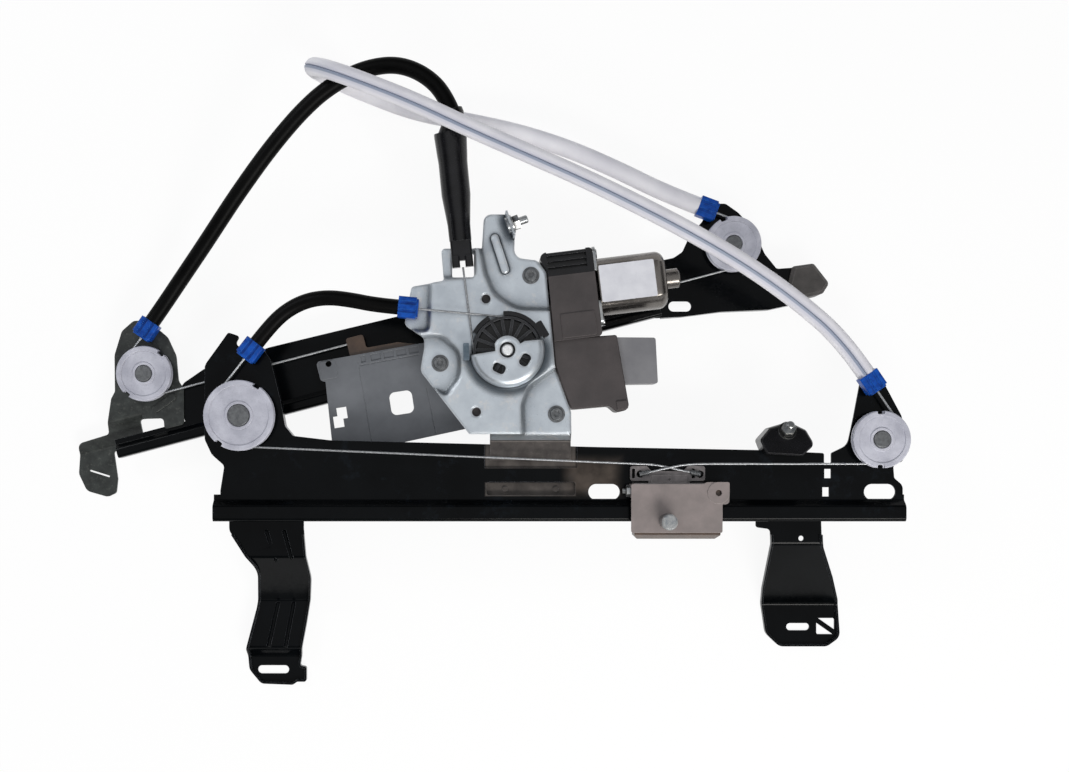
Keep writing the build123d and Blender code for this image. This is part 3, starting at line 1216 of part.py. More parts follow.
with BuildPart() as lower_carrier_plate:
    with BuildSketch(Plane.XY.offset(LOWER_PLATE_FACE - 2)):
        outline(*LOWER_PLATE)
    extrude(amount=2)
    # raised ear with its hole
    with BuildSketch(Plane.XY.offset(LOWER_PLATE_FACE)):
        with Locations(LOWER_EAR):
            Circle(8.2)
            with Locations((4, 4)):
                RectangleRounded(8.4, 8.4, 1.5)
    extrude(amount=0.8)
    # wall turned down beside the rail's web
    with BuildSketch(Plane.YZ.offset(106.5)):
        with Locations((-41, 70)):
            RectangleRounded(10.5, 14.8, 1.5)
    extrude(amount=2)
    with BuildSketch(Plane.XY.offset(LOWER_PLATE_FACE - 3)):
        with Locations(LOWER_EAR):
            Circle(2.4)
        with Locations(GLASS_PIN):
            Circle(4)
    extrude(amount=6, mode=Mode.SUBTRACT)
    with BuildSketch(Plane.YZ.offset(105)):
        with Locations((-41, 70)):
            Circle(2)
    extrude(amount=5, mode=Mode.SUBTRACT)
finish(lower_carrier_plate, "lower_carrier_plate")

with BuildPart() as glass_pin:
    with BuildSketch(Plane.XY.offset(LOWER_PLATE_FACE - 2)):
        with Locations(GLASS_PIN):
            Circle(4)
    extrude(amount=2)
    with BuildSketch(Plane.XY.offset(LOWER_PLATE_FACE)):
        with Locations(GLASS_PIN):
            Circle(GLASS_PIN_R)
    extrude(amount=GLASS_PIN_HEIGHT)
    chamfer(glass_pin.faces().sort_by(Axis.Z)[-1].edges(), 1)
finish(glass_pin, "glass_pin")

with BuildPart() as guide_bolt:
    with BuildSketch(Plane.YZ.offset(108.5)):
        with Locations((-41, 70)):
            Circle(2)
    extrude(amount=-2)
    with BuildSketch(Plane.YZ.offset(106.5)):
        with Locations((-41, 70)):
            RegularPolygon(4, 6, major_radius=False)
    extrude(amount=-3)
    with BuildSketch(Plane.YZ.offset(103.5)):
        with Locations((-41, 70)):
            Circle(2.6)
    extrude(amount=-2.5, taper=15)
finish(guide_bolt, "guide_bolt")

with BuildPart() as lower_carrier_slider:
    with BuildSketch(Plane.YZ.offset(109)):
        with BuildLine():
            Polyline(*SLIDER_SECTION, close=True)
        make_face()
    extrude(amount=65)
    chamfer(lower_carrier_slider.edges().filter_by(Axis.Z).group_by(Axis.Y)[0], 3)
    with BuildSketch(Plane.XY.offset(63)):
        outline(*HOLDER)
    extrude(amount=HOLDER_TOP - 63)
    with BuildSketch(Plane.XY.offset(HOLDER_TOP)):
        with Locations((136.5, -32.5)):
            RectangleRounded(27, 7, 1.5)
    extrude(amount=1.5)
    # open windows in the holder's two arms, the pockets of the cable ends, small locating hole
    with BuildSketch(Plane.XY.offset(62)):
        with Locations((109.4, -27.8), (154.9, -27.8)):
            Rectangle(2.4, 7.4)
        with Locations(*NIPPLES):
            Circle(NIPPLE_R + 0.2)
    extrude(amount=8, mode=Mode.SUBTRACT)
    with BuildSketch(Plane.XY.offset(HOLDER_TOP)):
        with Locations((136.5, -32.5)):
            Circle(1)
    extrude(amount=2, mode=Mode.SUBTRACT)
finish(lower_carrier_slider, "lower_carrier_slider")

with BuildPart() as lower_cable_ends:
    for start, side, height in ((NIPPLES[0], 1, HOLDER_TOP + 0.9), (NIPPLES[1], -1, HOLDER_TOP + 2.6)):
        with BuildSketch(Plane.XY.offset(63.5)):
            with Locations(start):
                Circle(NIPPLE_R)
        extrude(amount=HOLDER_TOP - 63.5)
        with BuildSketch(Plane.XY.offset(HOLDER_TOP)):
            with Locations(start):
                Circle(1.6)
        extrude(amount=height + 0.9 - HOLDER_TOP)
        with BuildLine(Plane.XY.offset(height)) as path:
            FilletPolyline(start, (start[0] + side * 21, -23.2), (start[0] + side * 43.5, -22.6), radius=30)
        with BuildSketch(Plane(origin=(*start, height), z_dir=path.line % 0)):
            Circle(CABLE_R)
        sweep(path=path.line)
finish(lower_cable_ends, "lower_cable_ends")

UPPER_PLATE = (
    (134, -26, 3), (165, -28.5, 1), (215, -32.5, 1), (246, -36, 4), (241, -107, 6), (128.5, -102, 4),
    (137.5, -42.5, 1), (134, -42.5, 3),
)
UPPER_PLATE_BACK = 32.0
UPPER_PLATE_FACE = 34.5
UPPER_SLIDER_SECTION = (
    (-43, 32), (-43, 20.6), (-47.3, 20.6), (-50.9, 24.6), (-59.5, 24.6), (-59.5, 13), (-63.5, 13),
    (-63.5, 32),
)
CREASES = (((166, -34), (160.5, -100)), ((213, -67), (211, -105)), ((166, -37.5), (214, -41)))
BARREL_R = 3.2
with BuildPart() as upper_carrier_plate:
    with BuildSketch(UPPER.offset(UPPER_PLATE_BACK)):
        outline(*UPPER_PLATE)
        with Locations((143.3, -30)):
            Circle(2.4, mode=Mode.SUBTRACT)
        with Locations(Location((191, -74, 0), (0, 0, -6))):
            RectangleRounded(18, 18, 4.5, mode=Mode.SUBTRACT)
        with Locations(Location((143.6, -70, 0), (0, 0, -6)), Location((139.4, -76, 0), (0, 0, -6))):
            Rectangle(8, 9, mode=Mode.SUBTRACT)
    extrude(amount=UPPER_PLATE_FACE - UPPER_PLATE_BACK)
    # shallow pockets along the top edge and pressed creases
    with BuildSketch(UPPER.offset(UPPER_PLATE_FACE - 1)):
        for step in range(5):
            with Locations(Location((170.5 + 10.1 * step, -33.2 - 0.8 * step, 0), (0, 0, -4.6))):
                Rectangle(8 if step else 4, 5.2)
    extrude(amount=1, mode=Mode.SUBTRACT)
    for start, end in CREASES:
        with BuildSketch(UPPER.offset(UPPER_PLATE_FACE - 0.4)):
            with BuildLine():
                Line(start, end)
            trace(line_width=0.8)
        extrude(amount=1, mode=Mode.SUBTRACT)
    # raised ear round the corner hole
    with BuildSketch(UPPER.offset(UPPER_PLATE_FACE)):
        with Locations(Location((142, -34.5, 0), (0, 0, -5))):
            RectangleRounded(13, 14, 2.5)
        with Locations((143.3, -30)):
            Circle(2.4, mode=Mode.SUBTRACT)
    extrude(amount=0.6)
finish(upper_carrier_plate, "upper_carrier_plate")

with BuildPart() as upper_carrier_slider:
    with BuildSketch(UPPER_SECTION.offset(140)):
        with BuildLine():
            Polyline(*UPPER_SLIDER_SECTION, close=True)
        make_face()
    extrude(amount=50)
    # arm over the cable, with the two barrels that hold the cable's ends
    with BuildSketch(UPPER.offset(29.5)):
        outline(
            (150, -50, 0), (150, -33, 2), (161, -33, 2), (161, -14, 2), (175, -14, 2), (175, -25, 2),
            (200, -27, 2), (216, -33, 2), (245, -34, 2), (245, -50, 2))
    extrude(amount=UPPER_PLATE_BACK - 29.5)
    for start, across in ((163, -18.3), (236, -37.5)):
        with BuildSketch(UPPER_SECTION.offset(start)):
            with Locations((across, UPPER_CABLE)):
                Circle(BARREL_R)
        extrude(amount=7)
    for start, across in ((163, -18.3), (236, -37.5)):
        with BuildSketch(UPPER_SECTION.offset(start - 1)):
            with Locations((across, UPPER_CABLE)):
                Circle(1.6)
        extrude(amount=9, mode=Mode.SUBTRACT)
finish(upper_carrier_slider, "upper_carrier_slider")
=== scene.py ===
"""A two-rail cable window regulator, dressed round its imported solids.

Sizes are in millimetres until MM or mm() turns them to metres.
"""
import json
from math import cos, pi, radians, sin

import bmesh
import bpy
from mathutils import Matrix, Vector


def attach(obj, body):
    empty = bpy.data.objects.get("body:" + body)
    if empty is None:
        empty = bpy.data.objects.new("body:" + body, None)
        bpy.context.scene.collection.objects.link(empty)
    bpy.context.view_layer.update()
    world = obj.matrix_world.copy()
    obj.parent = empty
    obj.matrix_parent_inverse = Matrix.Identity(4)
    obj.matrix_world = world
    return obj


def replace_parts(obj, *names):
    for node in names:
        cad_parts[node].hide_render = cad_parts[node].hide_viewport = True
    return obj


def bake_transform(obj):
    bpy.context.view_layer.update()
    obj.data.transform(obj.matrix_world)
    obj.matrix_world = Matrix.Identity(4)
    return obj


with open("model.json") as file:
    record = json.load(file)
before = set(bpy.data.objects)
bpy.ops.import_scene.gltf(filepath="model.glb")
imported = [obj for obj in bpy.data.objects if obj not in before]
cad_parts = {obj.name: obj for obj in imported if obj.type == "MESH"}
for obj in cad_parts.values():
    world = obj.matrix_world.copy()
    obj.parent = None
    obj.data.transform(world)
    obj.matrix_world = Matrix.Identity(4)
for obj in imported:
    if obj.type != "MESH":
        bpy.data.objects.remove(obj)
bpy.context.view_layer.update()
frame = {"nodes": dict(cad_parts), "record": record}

MM = 0.001
BODIES = frame["record"]["behaviour"]["bodies"]
BODY_OF = {node: body for body, nodes in BODIES.items() for node in nodes}
SLOT_OF = {part["node"]: part["material_slot"] for part in frame["record"]["subparts"]}


def mm(*point):
    """A point or a size in metres from its millimetres."""
    return Vector(point) * MM


# ---- camera: straight down over the motor's side of the lower rail --------------------------
EYE = (-8.64, -33.7, 1100)
LENS = 45.7                # on a 36 mm sensor
SHIFT = (0.0603, 0.0599)
scene = bpy.context.scene
scene.view_settings.view_transform = "Standard"
camera_data = bpy.data.cameras.new("camera")
camera_data.lens = LENS
camera_data.shift_x, camera_data.shift_y = SHIFT
camera = bpy.data.objects.new("camera", camera_data)
camera.location = mm(*EYE)
scene.collection.objects.link(camera)
scene.camera = camera


# ---- materials ------------------------------------------------------------------------------
def linear(colour):
    """Linear RGBA from an sRGB hex colour such as "#2b2f33"."""
    channels = [int(colour[i:i + 2], 16) / 255 for i in (1, 3, 5)]
    return (*[c / 12.92 if c < 0.04045 else ((c + 0.055) / 1.055) ** 2.4 for c in channels], 1)


# sockets of a Mix node in its colour mode, and the part of a noise's range that it really fills
FIRST, SECOND, MIXED = 6, 7, 2
NOISE_SPREAD = {"From Min": 0.36, "From Max": 0.64}
SHADE_REACH = 9            # how far from the foot of a step its painted shade fades


def add(material, kind, inputs=(), links=(), **settings):
    """One node with its settings, input values and links; links are (input, node, output)."""
    node = material.node_tree.nodes.new("ShaderNode" + kind)
    for name, value in settings.items():
        setattr(node, name, value)
    for name, value in dict(inputs).items():
        node.inputs[name].default_value = value
    for name, source, output in links:
        material.node_tree.links.new(source.outputs[output], node.inputs[name])
    return node


def fresh_material(name, shader):
    """A new node material and its main shader, with values set on the shader's own sockets."""
    material = bpy.data.materials.new(name)
    material.use_nodes = True
    main = material.node_tree.nodes["Principled BSDF"]
    for socket, value in shader.items():
        main.inputs[socket.replace("_", " ")].default_value = value
    return material, main


def finish_with(material, main, tone, gloss, relief):
    """Link a finish's colour, gloss and relief to its main shader."""
    links = material.node_tree.links
    links.new(tone.outputs[MIXED], main.inputs["Base Color"])
    links.new(gloss.outputs["Result"], main.inputs["Roughness"])
    links.new(relief.outputs["Normal"], main.inputs["Normal"])
    return material


def skin(name, dark, light, patches, grain, rough, depth, edge_wear_and_highlight=None, edge=0.4, stains_and_sheen=None,
         painted_shade=None, **shader):
    """A finish in two close tones: soft patches, a fine grain in gloss and relief, edges in wear
    and painted highlight.

    patches and grain are sizes in millimetres, depth is the grain's height and edge the radius of
    the rounded edges. worn is the colour that edges take: wear, and a painted highlight. marks is a
    colour for stains and spots, and on the rail for a painted sheen. grime is the colour of painted
    shade at the foot of steps and in hollows, fading over SHADE_REACH.
    """
    material, main = fresh_material(name, shader)
    place = add(material, "TexCoord")
    cloud = add(material, "TexNoise", {"Scale": 1000 / patches, "Detail": 5.0, "Roughness": 0.6},
                [("Vector", place, "Object")])
    spread = add(material, "MapRange", NOISE_SPREAD, [("Value", cloud, "Fac")])
    tone = add(material, "Mix", {FIRST: linear(dark), SECOND: linear(light)},
               [(0, spread, "Result")], data_type="RGBA")
    # stains and spots, which on the rail are a painted sheen
    if stains_and_sheen:
        spots = add(material, "TexNoise",
                    {"Scale": 2600 / patches, "Detail": 8.0, "Roughness": 0.75},
                    [("Vector", place, "Object")])
        share = add(material, "MapRange", {"From Min": 0.56, "From Max": 0.72, "To Max": 0.7},
                    [("Value", spots, "Fac")])
        tone = add(material, "Mix", {SECOND: linear(stains_and_sheen)},
                   [(0, share, "Result"), (FIRST, tone, MIXED)], data_type="RGBA")
    rounded = add(material, "Bevel", {"Radius": edge * MM}, samples=4)
    # edges in wear and painted highlight: the edge colour goes where the rounded normal turns away
    # from the face
    if edge_wear_and_highlight:
        true_face = add(material, "NewGeometry")
        turn = add(material, "VectorMath", {}, [(0, rounded, "Normal"), (1, true_face, "Normal")],
                   operation="DOT_PRODUCT")
        wear_and_highlight_share = add(material, "MapRange", {"From Min": 0.97, "From Max": 0.75, "To Max": 0.8},
                     [("Value", turn, "Value")])
        tone = add(material, "Mix", {SECOND: linear(edge_wear_and_highlight)},
                   [(0, wear_and_highlight_share, "Result"), (FIRST, tone, MIXED)], data_type="RGBA")
    # painted shade: a dark colour laid into hollows and at the foot of steps, where ambient
    # occlusion finds them
    if painted_shade:
        occlusion = add(material, "AmbientOcclusion", {"Distance": SHADE_REACH * MM},
                     samples=8, only_local=True)
        painted_shade_share = add(material, "MapRange", {"From Min": 0.99, "From Max": 0.82, "To Max": 0.9},
                       [("Value", occlusion, "AO")])
        tone = add(material, "Mix", {SECOND: linear(painted_shade)},
                   [(0, painted_shade_share, "Result"), (FIRST, tone, MIXED)], data_type="RGBA")
    fine = add(material, "TexNoise", {"Scale": 1000 / grain, "Detail": 3.0},
               [("Vector", place, "Object")])
    gloss = add(material, "MapRange",
                {"From Min": 0.3, "From Max": 0.7, "To Min": rough * 0.8, "To Max": rough * 1.25},
                [("Value", fine, "Fac")])
    relief = add(material, "Bump", {"Strength": 0.6, "Distance": depth * MM},
                 [("Height", fine, "Fac"), ("Normal", rounded, "Normal")])
    return finish_with(material, main, tone, gloss, relief)


# electrocoated pressed steel: deep gloss black with a slow orange-peel ripple, its edges grey with
# wear and painted highlights
electrocoat = skin("electrocoated_steel", "#030405", "#07090b", 60, 3, 0.16, 0.012, "#6f7278", 0.45,
                   Specular_IOR_Level=0.08)
# the lower rail wears the same coat, with blue-grey spots of painted sheen; the grease and a
# painted reflection on it come below
rail_with_grease_and_sheen = skin("electrocoated_rail_steel", "#030405", "#07090b", 60, 3, 0.16, 0.012,
                    "#6f7278", 0.45, stains_and_sheen="#161c22", Specular_IOR_Level=0.08)
# dark phosphated pressed steel of the upper left bracket: dull green-grey with rubbed patches
phosphated = skin("phosphated_steel", "#1f2221", "#333735", 9, 1.2, 0.42, 0.03, "#646662", 0.6,
                  stains_and_sheen="#61625d", Metallic=0.3)
# hot-dip galvanised sheet: pale blue-grey and satin, with warm dusty spots, painted highlights on
# the edges of its steps and painted shade at their foot
galvanised = skin("galvanised_steel", "#b3bac1", "#c6cdd3", 22, 0.9, 0.34, 0.02, "#eef1f3", 3.2,
                  stains_and_sheen="#e0d9d2", painted_shade="#2f3840", Metallic=0.85)
# the same sheet where it lies on the rail: dull and brown, with painted shade from the rail and old
# grease
shaded_greasy_sheet = skin("shaded_greasy_galvanised_steel", "#3c3836", "#4f4a47", 9, 0.9, 0.42, 0.03,
                    "#9b9692", 0.8, stains_and_sheen="#69625e", Metallic=0.5)
# zinc plated turned steel: bright blue-grey, with yellowish painted highlights on its edges and
# painted shade in its threads
zinc = skin("zinc_plated_steel", "#83878b", "#aaabaa", 4, 0.5, 0.3, 0.006, "#dcd8cc", 0.35,
            painted_shade="#1d1d1c", Metallic=0.9)
# dark turned and headed steel: even grey, lighter where the tool rubbed it
turned_steel = skin("turned_steel", "#56585a", "#707274", 3, 0.5, 0.4, 0.02, "#a3a5a7", 0.5,
                    Metallic=0.6)
# drawn and plated can: warm mid grey, nearly smooth, with bright corners of wear and painted
# highlight
drawn_can = skin("drawn_plated_steel", "#5d5955", "#75716d", 40, 3, 0.24, 0.002, "#c9c6c0", 0.8,
                 Metallic=0.95)
# zinc plated pressed sheet of the lower carrier: warm pinkish grey, close to even
carrier_sheet = skin("zinc_plated_sheet", "#7a7270", "#897f7d", 18, 1.0, 0.42, 0.02, "#b9b1ae", 0.5,
                     Metallic=0.25)
# grey powder coat: even and fine-grained
powder_coat = skin("powder_coated_steel", "#585b60", "#686b70", 40, 1.4, 0.42, 0.03, "#8f9296",
                   0.5)
# oiled spring wire: dark and shiny
spring_wire = skin("oiled_spring_wire", "#4c4c4e", "#666668", 3, 0.5, 0.3, 0.01, Metallic=0.9)
# sintered bronze: dull gold with open pores
bronze = skin("sintered_bronze", "#7a5a34", "#93703f", 2, 0.4, 0.45, 0.03, Metallic=0.9)
# laminated iron and ferrite: matte dark grey
iron = skin("laminated_iron", "#3a3634", "#4a4542", 4, 0.5, 0.6, 0.03, Metallic=0.5)
# moulded glass-filled nylon: brown charcoal with an eroded grain and scuffed edges
filled_nylon = skin("moulded_glass_filled_nylon", "#332e2e", "#403a3a", 30, 0.9, 0.5, 0.04,
                    "#6a6261", 0.5)
# moulded black nylon: darker and glossier than the housings
black_nylon = skin("moulded_black_nylon", "#08080a", "#111114", 12, 0.8, 0.24, 0.012,
                   "#45464b", 0.4, Specular_IOR_Level=0.3)
# the drum's nylon: charcoal, its ribs pale on their edges with scuffs and painted highlights, and
# painted shade making the hollows between them black
drum_nylon = skin("moulded_drum_nylon", "#1d1e20", "#292a2d", 6, 0.8, 0.3, 0.015, "#85878c", 0.6,
                  painted_shade="#020202", Specular_IOR_Level=0.3)
# spring steel clip beside the drum: blued
blued_clip = skin("blued_spring_steel", "#4f5c66", "#6c7984", 6, 0.6, 0.34, 0.01, "#a9b4bc", 0.6,
                  Metallic=0.7)
# moulded EPDM rubber: nearly matte, dusty
rubber = skin("moulded_rubber", "#3a3735", "#4a4644", 12, 0.9, 0.5, 0.05, "#8a8683", 0.9)
# dipped rubber of the tensioner's boot: black and shiny, with light drawn along its ribs
boot_rubber = skin("dipped_black_rubber", "#050505", "#0b0b0c", 12, 0.9, 0.2, 0.01, "#1b1b1d", 0.8,
                   Specular_IOR_Level=0.3)
# moulded grey polyester of the wiring connector
grey_polyester = skin("moulded_grey_polyester", "#6a6a6e", "#767679", 30, 0.9, 0.45, 0.02,
                      "#9c9ca0", 0.5)
# moulded acetal of the sliders: dark brown, waxy
acetal = skin("moulded_brown_acetal", "#3b2c22", "#4c3a2d", 10, 0.8, 0.36, 0.02, "#75655a", 0.4)
# moulded acetal of the lower cable holder: mid grey, its ribs pale with wear and painted highlights
grey_acetal = skin("moulded_grey_acetal", "#5f5a5a", "#787272", 6, 0.6, 0.34, 0.02, "#c8c4c2", 0.5)
# turned and polished steel at the drum's axis: nearly white all over, a painted highlight standing
# for the end that faces up
highlit_polished_steel = skin("highlit_polished_steel", "#dfe1e2", "#f0f1f1", 3, 0.4, 0.3, 0.005, "#f6f6f6", 0.3,
                      Metallic=0.6)
# moulded blue acetal: strong blue with a dark mottle where ribs shade it
blue_acetal = skin("moulded_blue_acetal", "#043585", "#104eab", 5, 0.7, 0.32, 0.03, "#3f83d8", 0.5,
                   Specular_IOR_Level=0.15)
# natural nylon: milky, letting a little light in
milky_nylon = skin("natural_nylon", "#a4a5b1", "#bebfca", 16, 1.0, 0.3, 0.02, "#dcdde8", 0.8,
                   Subsurface_Weight=0.15, Subsurface_Scale=0.002, Subsurface_Radius=(1, 1, 1))
# stranded galvanised wire rope, its strands drawn as a fine mottle
wire_rope = skin("galvanised_wire_rope", "#85878a", "#b3b5b7", 1.2, 0.5, 0.3, 0.05, Metallic=0.6)
# coated paper label, blank: pale lilac-grey and matte
bare_label = skin("bare_paper_label", "#c9cad1", "#d5d6dc", 12, 0.6, 0.55, 0.01, "#dcdde2", 0.3)


def lay_grease_and_reflection(material, low, high, colour, fade):
    """A dull colour over a finish inside the box from low to high, thinning out over fade: greasy
    dirt on the rail's pads, and a painted reflection beside them.
    """
    low, high = Vector(low), Vector(high)
    main = material.node_tree.nodes["Principled BSDF"]
    tone = main.inputs["Base Color"].links[0].from_socket
    place = add(material, "TexCoord")
    aside = add(material, "VectorMath", {1: (low + high) / 2 * MM}, [(0, place, "Object")],
                operation="SUBTRACT")
    apart = add(material, "VectorMath", {}, [(0, aside, "Vector")], operation="ABSOLUTE")
    beyond = add(material, "VectorMath", {1: (high - low) / 2 * MM}, [(0, apart, "Vector")],
                 operation="SUBTRACT")
    out = add(material, "SeparateXYZ", {}, [("Vector", beyond, "Vector")])
    out_flat = add(material, "Math", {}, [(0, out, "X"), (1, out, "Y")], operation="MAXIMUM")
    furthest = add(material, "Math", {}, [(0, out_flat, "Value"), (1, out, "Z")],
                   operation="MAXIMUM")
    inside = add(material, "MapRange", {"From Min": fade / 2 * MM, "From Max": -fade / 2 * MM},
                 [("Value", furthest, "Value")], interpolation_type="SMOOTHSTEP")
    blotches = add(material, "TexNoise", {"Scale": 90.0, "Detail": 5.0}, [("Vector", place, "Object")])
    share = add(material, "Math", {}, [(0, inside, "Result"), (1, blotches, "Fac")],
                operation="MULTIPLY")
    cover = add(material, "Mix", {SECOND: linear(colour)}, [(0, share, "Value")], data_type="RGBA")
    material.node_tree.links.new(tone, cover.inputs[FIRST])
    material.node_tree.links.new(cover.outputs[MIXED], main.inputs["Base Color"])


def sleeve_foam(name, dark, light, seam, band_shade, rough, diameter, **shader):
    """Closed-cell foam with cells 0.8 mm wide, a slit along its length, and painted shade in the
    slit and in bands beside it.

    seam is the colour of painted shade in the slit and band the colour of painted shade beside it.
    """
    material, main = fresh_material(name, shader)
    place = add(material, "TexCoord")
    across = add(material, "SeparateXYZ", {}, [("Vector", place, "UV")])
    from_slit = add(material, "Math", {1: 0.5}, [(0, across, "Y")], operation="PINGPONG")
    cells = add(material, "TexNoise", {"Scale": 1250.0, "Detail": 4.0},
                [("Vector", place, "Object")])
    cloud = add(material, "TexNoise", {"Scale": 40.0, "Detail": 4.0}, [("Vector", place, "Object")])
    spread = add(material, "MapRange", NOISE_SPREAD, [("Value", cloud, "Fac")])
    tone = add(material, "Mix", {FIRST: linear(dark), SECOND: linear(light)},
               [(0, spread, "Result")], data_type="RGBA")
    round_way = pi * diameter
    # painted shade in bands beside the slit and in the slit itself
    in_band = add(material, "MapRange",
                  {"From Min": 5.5 / round_way, "From Max": 2.5 / round_way, "To Max": 0.75},
                  [("Value", from_slit, "Value")], interpolation_type="SMOOTHSTEP")
    banded = add(material, "Mix", {SECOND: linear(band_shade)},
                 [(0, in_band, "Result"), (FIRST, tone, MIXED)], data_type="RGBA")
    in_slit = add(material, "MapRange", {"From Min": 2.2 / round_way, "From Max": 1.2 / round_way},
                  [("Value", from_slit, "Value")], interpolation_type="SMOOTHSTEP")
    slit = add(material, "Mix", {SECOND: linear(seam)},
               [(0, in_slit, "Result"), (FIRST, banded, MIXED)], data_type="RGBA")
    relief = add(material, "Bump", {"Strength": 0.5, "Distance": 0.08 * MM},
                 [("Height", cells, "Fac")])
    gloss = add(material, "MapRange", {"To Min": rough * 0.85, "To Max": rough * 1.15},
                [("Value", cells, "Fac")])
    return finish_with(material, main, slit, gloss, relief)


# closed-cell foam: the black ones are almost without shine, the white one is lilac-white and soft;
# each has painted shade in and beside its slit
black_foam = sleeve_foam("black_foam_sleeve", "#030303", "#070707", "#010101", "#050505", 0.42, 12,
                         Specular_IOR_Level=0.06)
white_foam = sleeve_foam("white_foam_sleeve", "#d9d8df", "#e6e5ea", "#868fa2", "#bcbdc9", 0.5, 14,
                         Subsurface_Weight=0.1, Subsurface_Scale=0.002, Subsurface_Radius=(1, 1, 1))
# grease on the rail's two sunk pads, and from them to the left slot a wider painted brown
# reflection
RAIL_BACK, RAIL_FRONT = 40, 70
for left, low_y, right, high_y, tint, fade in (
    (3, -47.5, 72, -26, "#6a6460", 1.5),
    (3, -68.8, 72, -58.8, "#6a6460", 1.5),
    # painted brown reflection, not grease
    (66, -66, 104, -42, "#5a514a", 14),
):
    lay_grease_and_reflection(rail_with_grease_and_sheen, (left, low_y, RAIL_BACK), (right, high_y, RAIL_FRONT), tint, fade)
# the record's material slots and what each is finished in
FINISHES = {
    "black_coated_steel": electrocoat,
    "black_moulding": filled_nylon,
    "bare_bracket_steel": phosphated,
    "bumper_rubber": rubber,
    "galvanised_steel": galvanised,
    "zinc_hardware": zinc,
    "rivet_steel": turned_steel,
    "natural_nylon": milky_nylon,
    "drum_nylon": black_nylon,
    "bronze_bush": bronze,
    "grey_moulding": grey_polyester,
    "motor_steel": drawn_can,
    "motor_core": iron,
    "blue_moulding": blue_acetal,
    "spring_steel": spring_wire,
    "black_sheath": black_foam,
    "white_sheath": white_foam,
    "steel_cable": wire_rope,
    "carrier_steel": carrier_sheet,
    "carrier_moulding": acetal,
    "carrier_plate_coated": powder_coat,
}


# ---- shared shapes --------------------------------------------------------------------------
def piece(name, mesh, body, slot, material=None):
    """Put a finished mesh in the scene, riding on its body."""
    obj = bpy.data.objects.new(name, mesh)
    scene.collection.objects.link(obj)
    mesh.materials.clear()
    mesh.materials.append(material or FINISHES[slot])
    if body:
        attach(obj, body)
    return obj


def shade(bm, sharp=35):
    """Smooth faces, with edges sharper than the given degrees kept crisp."""
    for face in bm.faces:
        face.smooth = True
    for edge in bm.edges:
        edge.smooth = len(edge.link_faces) == 2 and edge.calc_face_angle(0) < radians(sharp)


def merged(node):
    """A bmesh copy of a CAD node with its loose triangles joined."""
    bm = bmesh.new()
    bm.from_mesh(frame["nodes"][node].data)
    bmesh.ops.remove_doubles(bm, verts=bm.verts, dist=0.001 * MM)
    return bm


def settle(bm, name, body, slot, material=None, sharp=35):
    """Shade a bmesh and make it a piece."""
    shade(bm, sharp)
    mesh = bpy.data.meshes.new(name)
    bm.to_mesh(mesh)
    bm.free()
    return piece(name, mesh, body, slot, material)


def dress(node, material=None):
    """A merged, smoothly shaded copy of a CAD node, in its slot's finish or the one given."""
    obj = settle(merged(node), node + "_skin", BODY_OF[node], SLOT_OF[node], material)
    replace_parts(obj, node)


def dress_in_two(node, origin, normal, slot, material):
    """Dress a node whose faces beyond a plane have a finish of their own."""
    origin, normal = mm(*origin), Vector(normal)
    far = merged(node)
    everything = far.verts[:] + far.edges[:] + far.faces[:]
    bmesh.ops.bisect_plane(far, geom=everything, plane_co=origin, plane_no=normal)
    near = far.copy()
    for bm, side, ending, where, finish in (
        (near, -1, "_skin", SLOT_OF[node], None),
        (far, 1, "_outer", slot, material),
    ):
        beyond = [face for face in bm.faces
                  if (face.calc_center_median() - origin).dot(normal) * side < 0]
        bmesh.ops.delete(bm, geom=beyond, context="FACES")
        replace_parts(settle(bm, node + ending, BODY_OF[node], where, finish), node)


def nurbs(points, name):
    """A smooth line with the given points as its control points."""
    curve = bpy.data.curves.new(name, "CURVE")
    curve.dimensions = "3D"
    curve.resolution_u = 10
    spline = curve.splines.new("NURBS")
    spline.points.add(len(points) - 1)
    for target, point in zip(spline.points, points):
        target.co = (*mm(*point), 1)
    spline.order_u = 3
    spline.use_endpoint_u = True
    return curve


def mesh_of(curve):
    """The mesh that a curve makes."""
    probe = bpy.data.objects.new("probe", curve)
    scene.collection.objects.link(probe)
    bpy.context.view_layer.update()
    depsgraph = bpy.context.evaluated_depsgraph_get()
    mesh = bpy.data.meshes.new_from_object(probe.evaluated_get(depsgraph))
    bpy.data.objects.remove(probe)
    return mesh


def turned(bm, profile, centre, axis, segments):
    """Spin a closed (radius, height) profile round an axis, its height measured from centre."""
    turn = Vector(axis).normalized().to_track_quat("Z", "Y").to_matrix().to_4x4()
    place = Matrix.Translation(mm(*centre)) @ turn
    verts = [bm.verts.new(place @ mm(radius, 0, height)) for radius, height in profile]
    edges = [bm.edges.new(pair) for pair in zip(verts, verts[1:])]
    bmesh.ops.spin(bm, geom=verts + edges, cent=mm(*centre),
                   axis=place.to_3x3() @ Vector((0, 0, 1)), angle=2 * pi, steps=segments,
                   use_merge=True)
    bmesh.ops.remove_doubles(bm, verts=bm.verts, dist=0.002 * MM)
    bmesh.ops.recalc_face_normals(bm, faces=bm.faces)


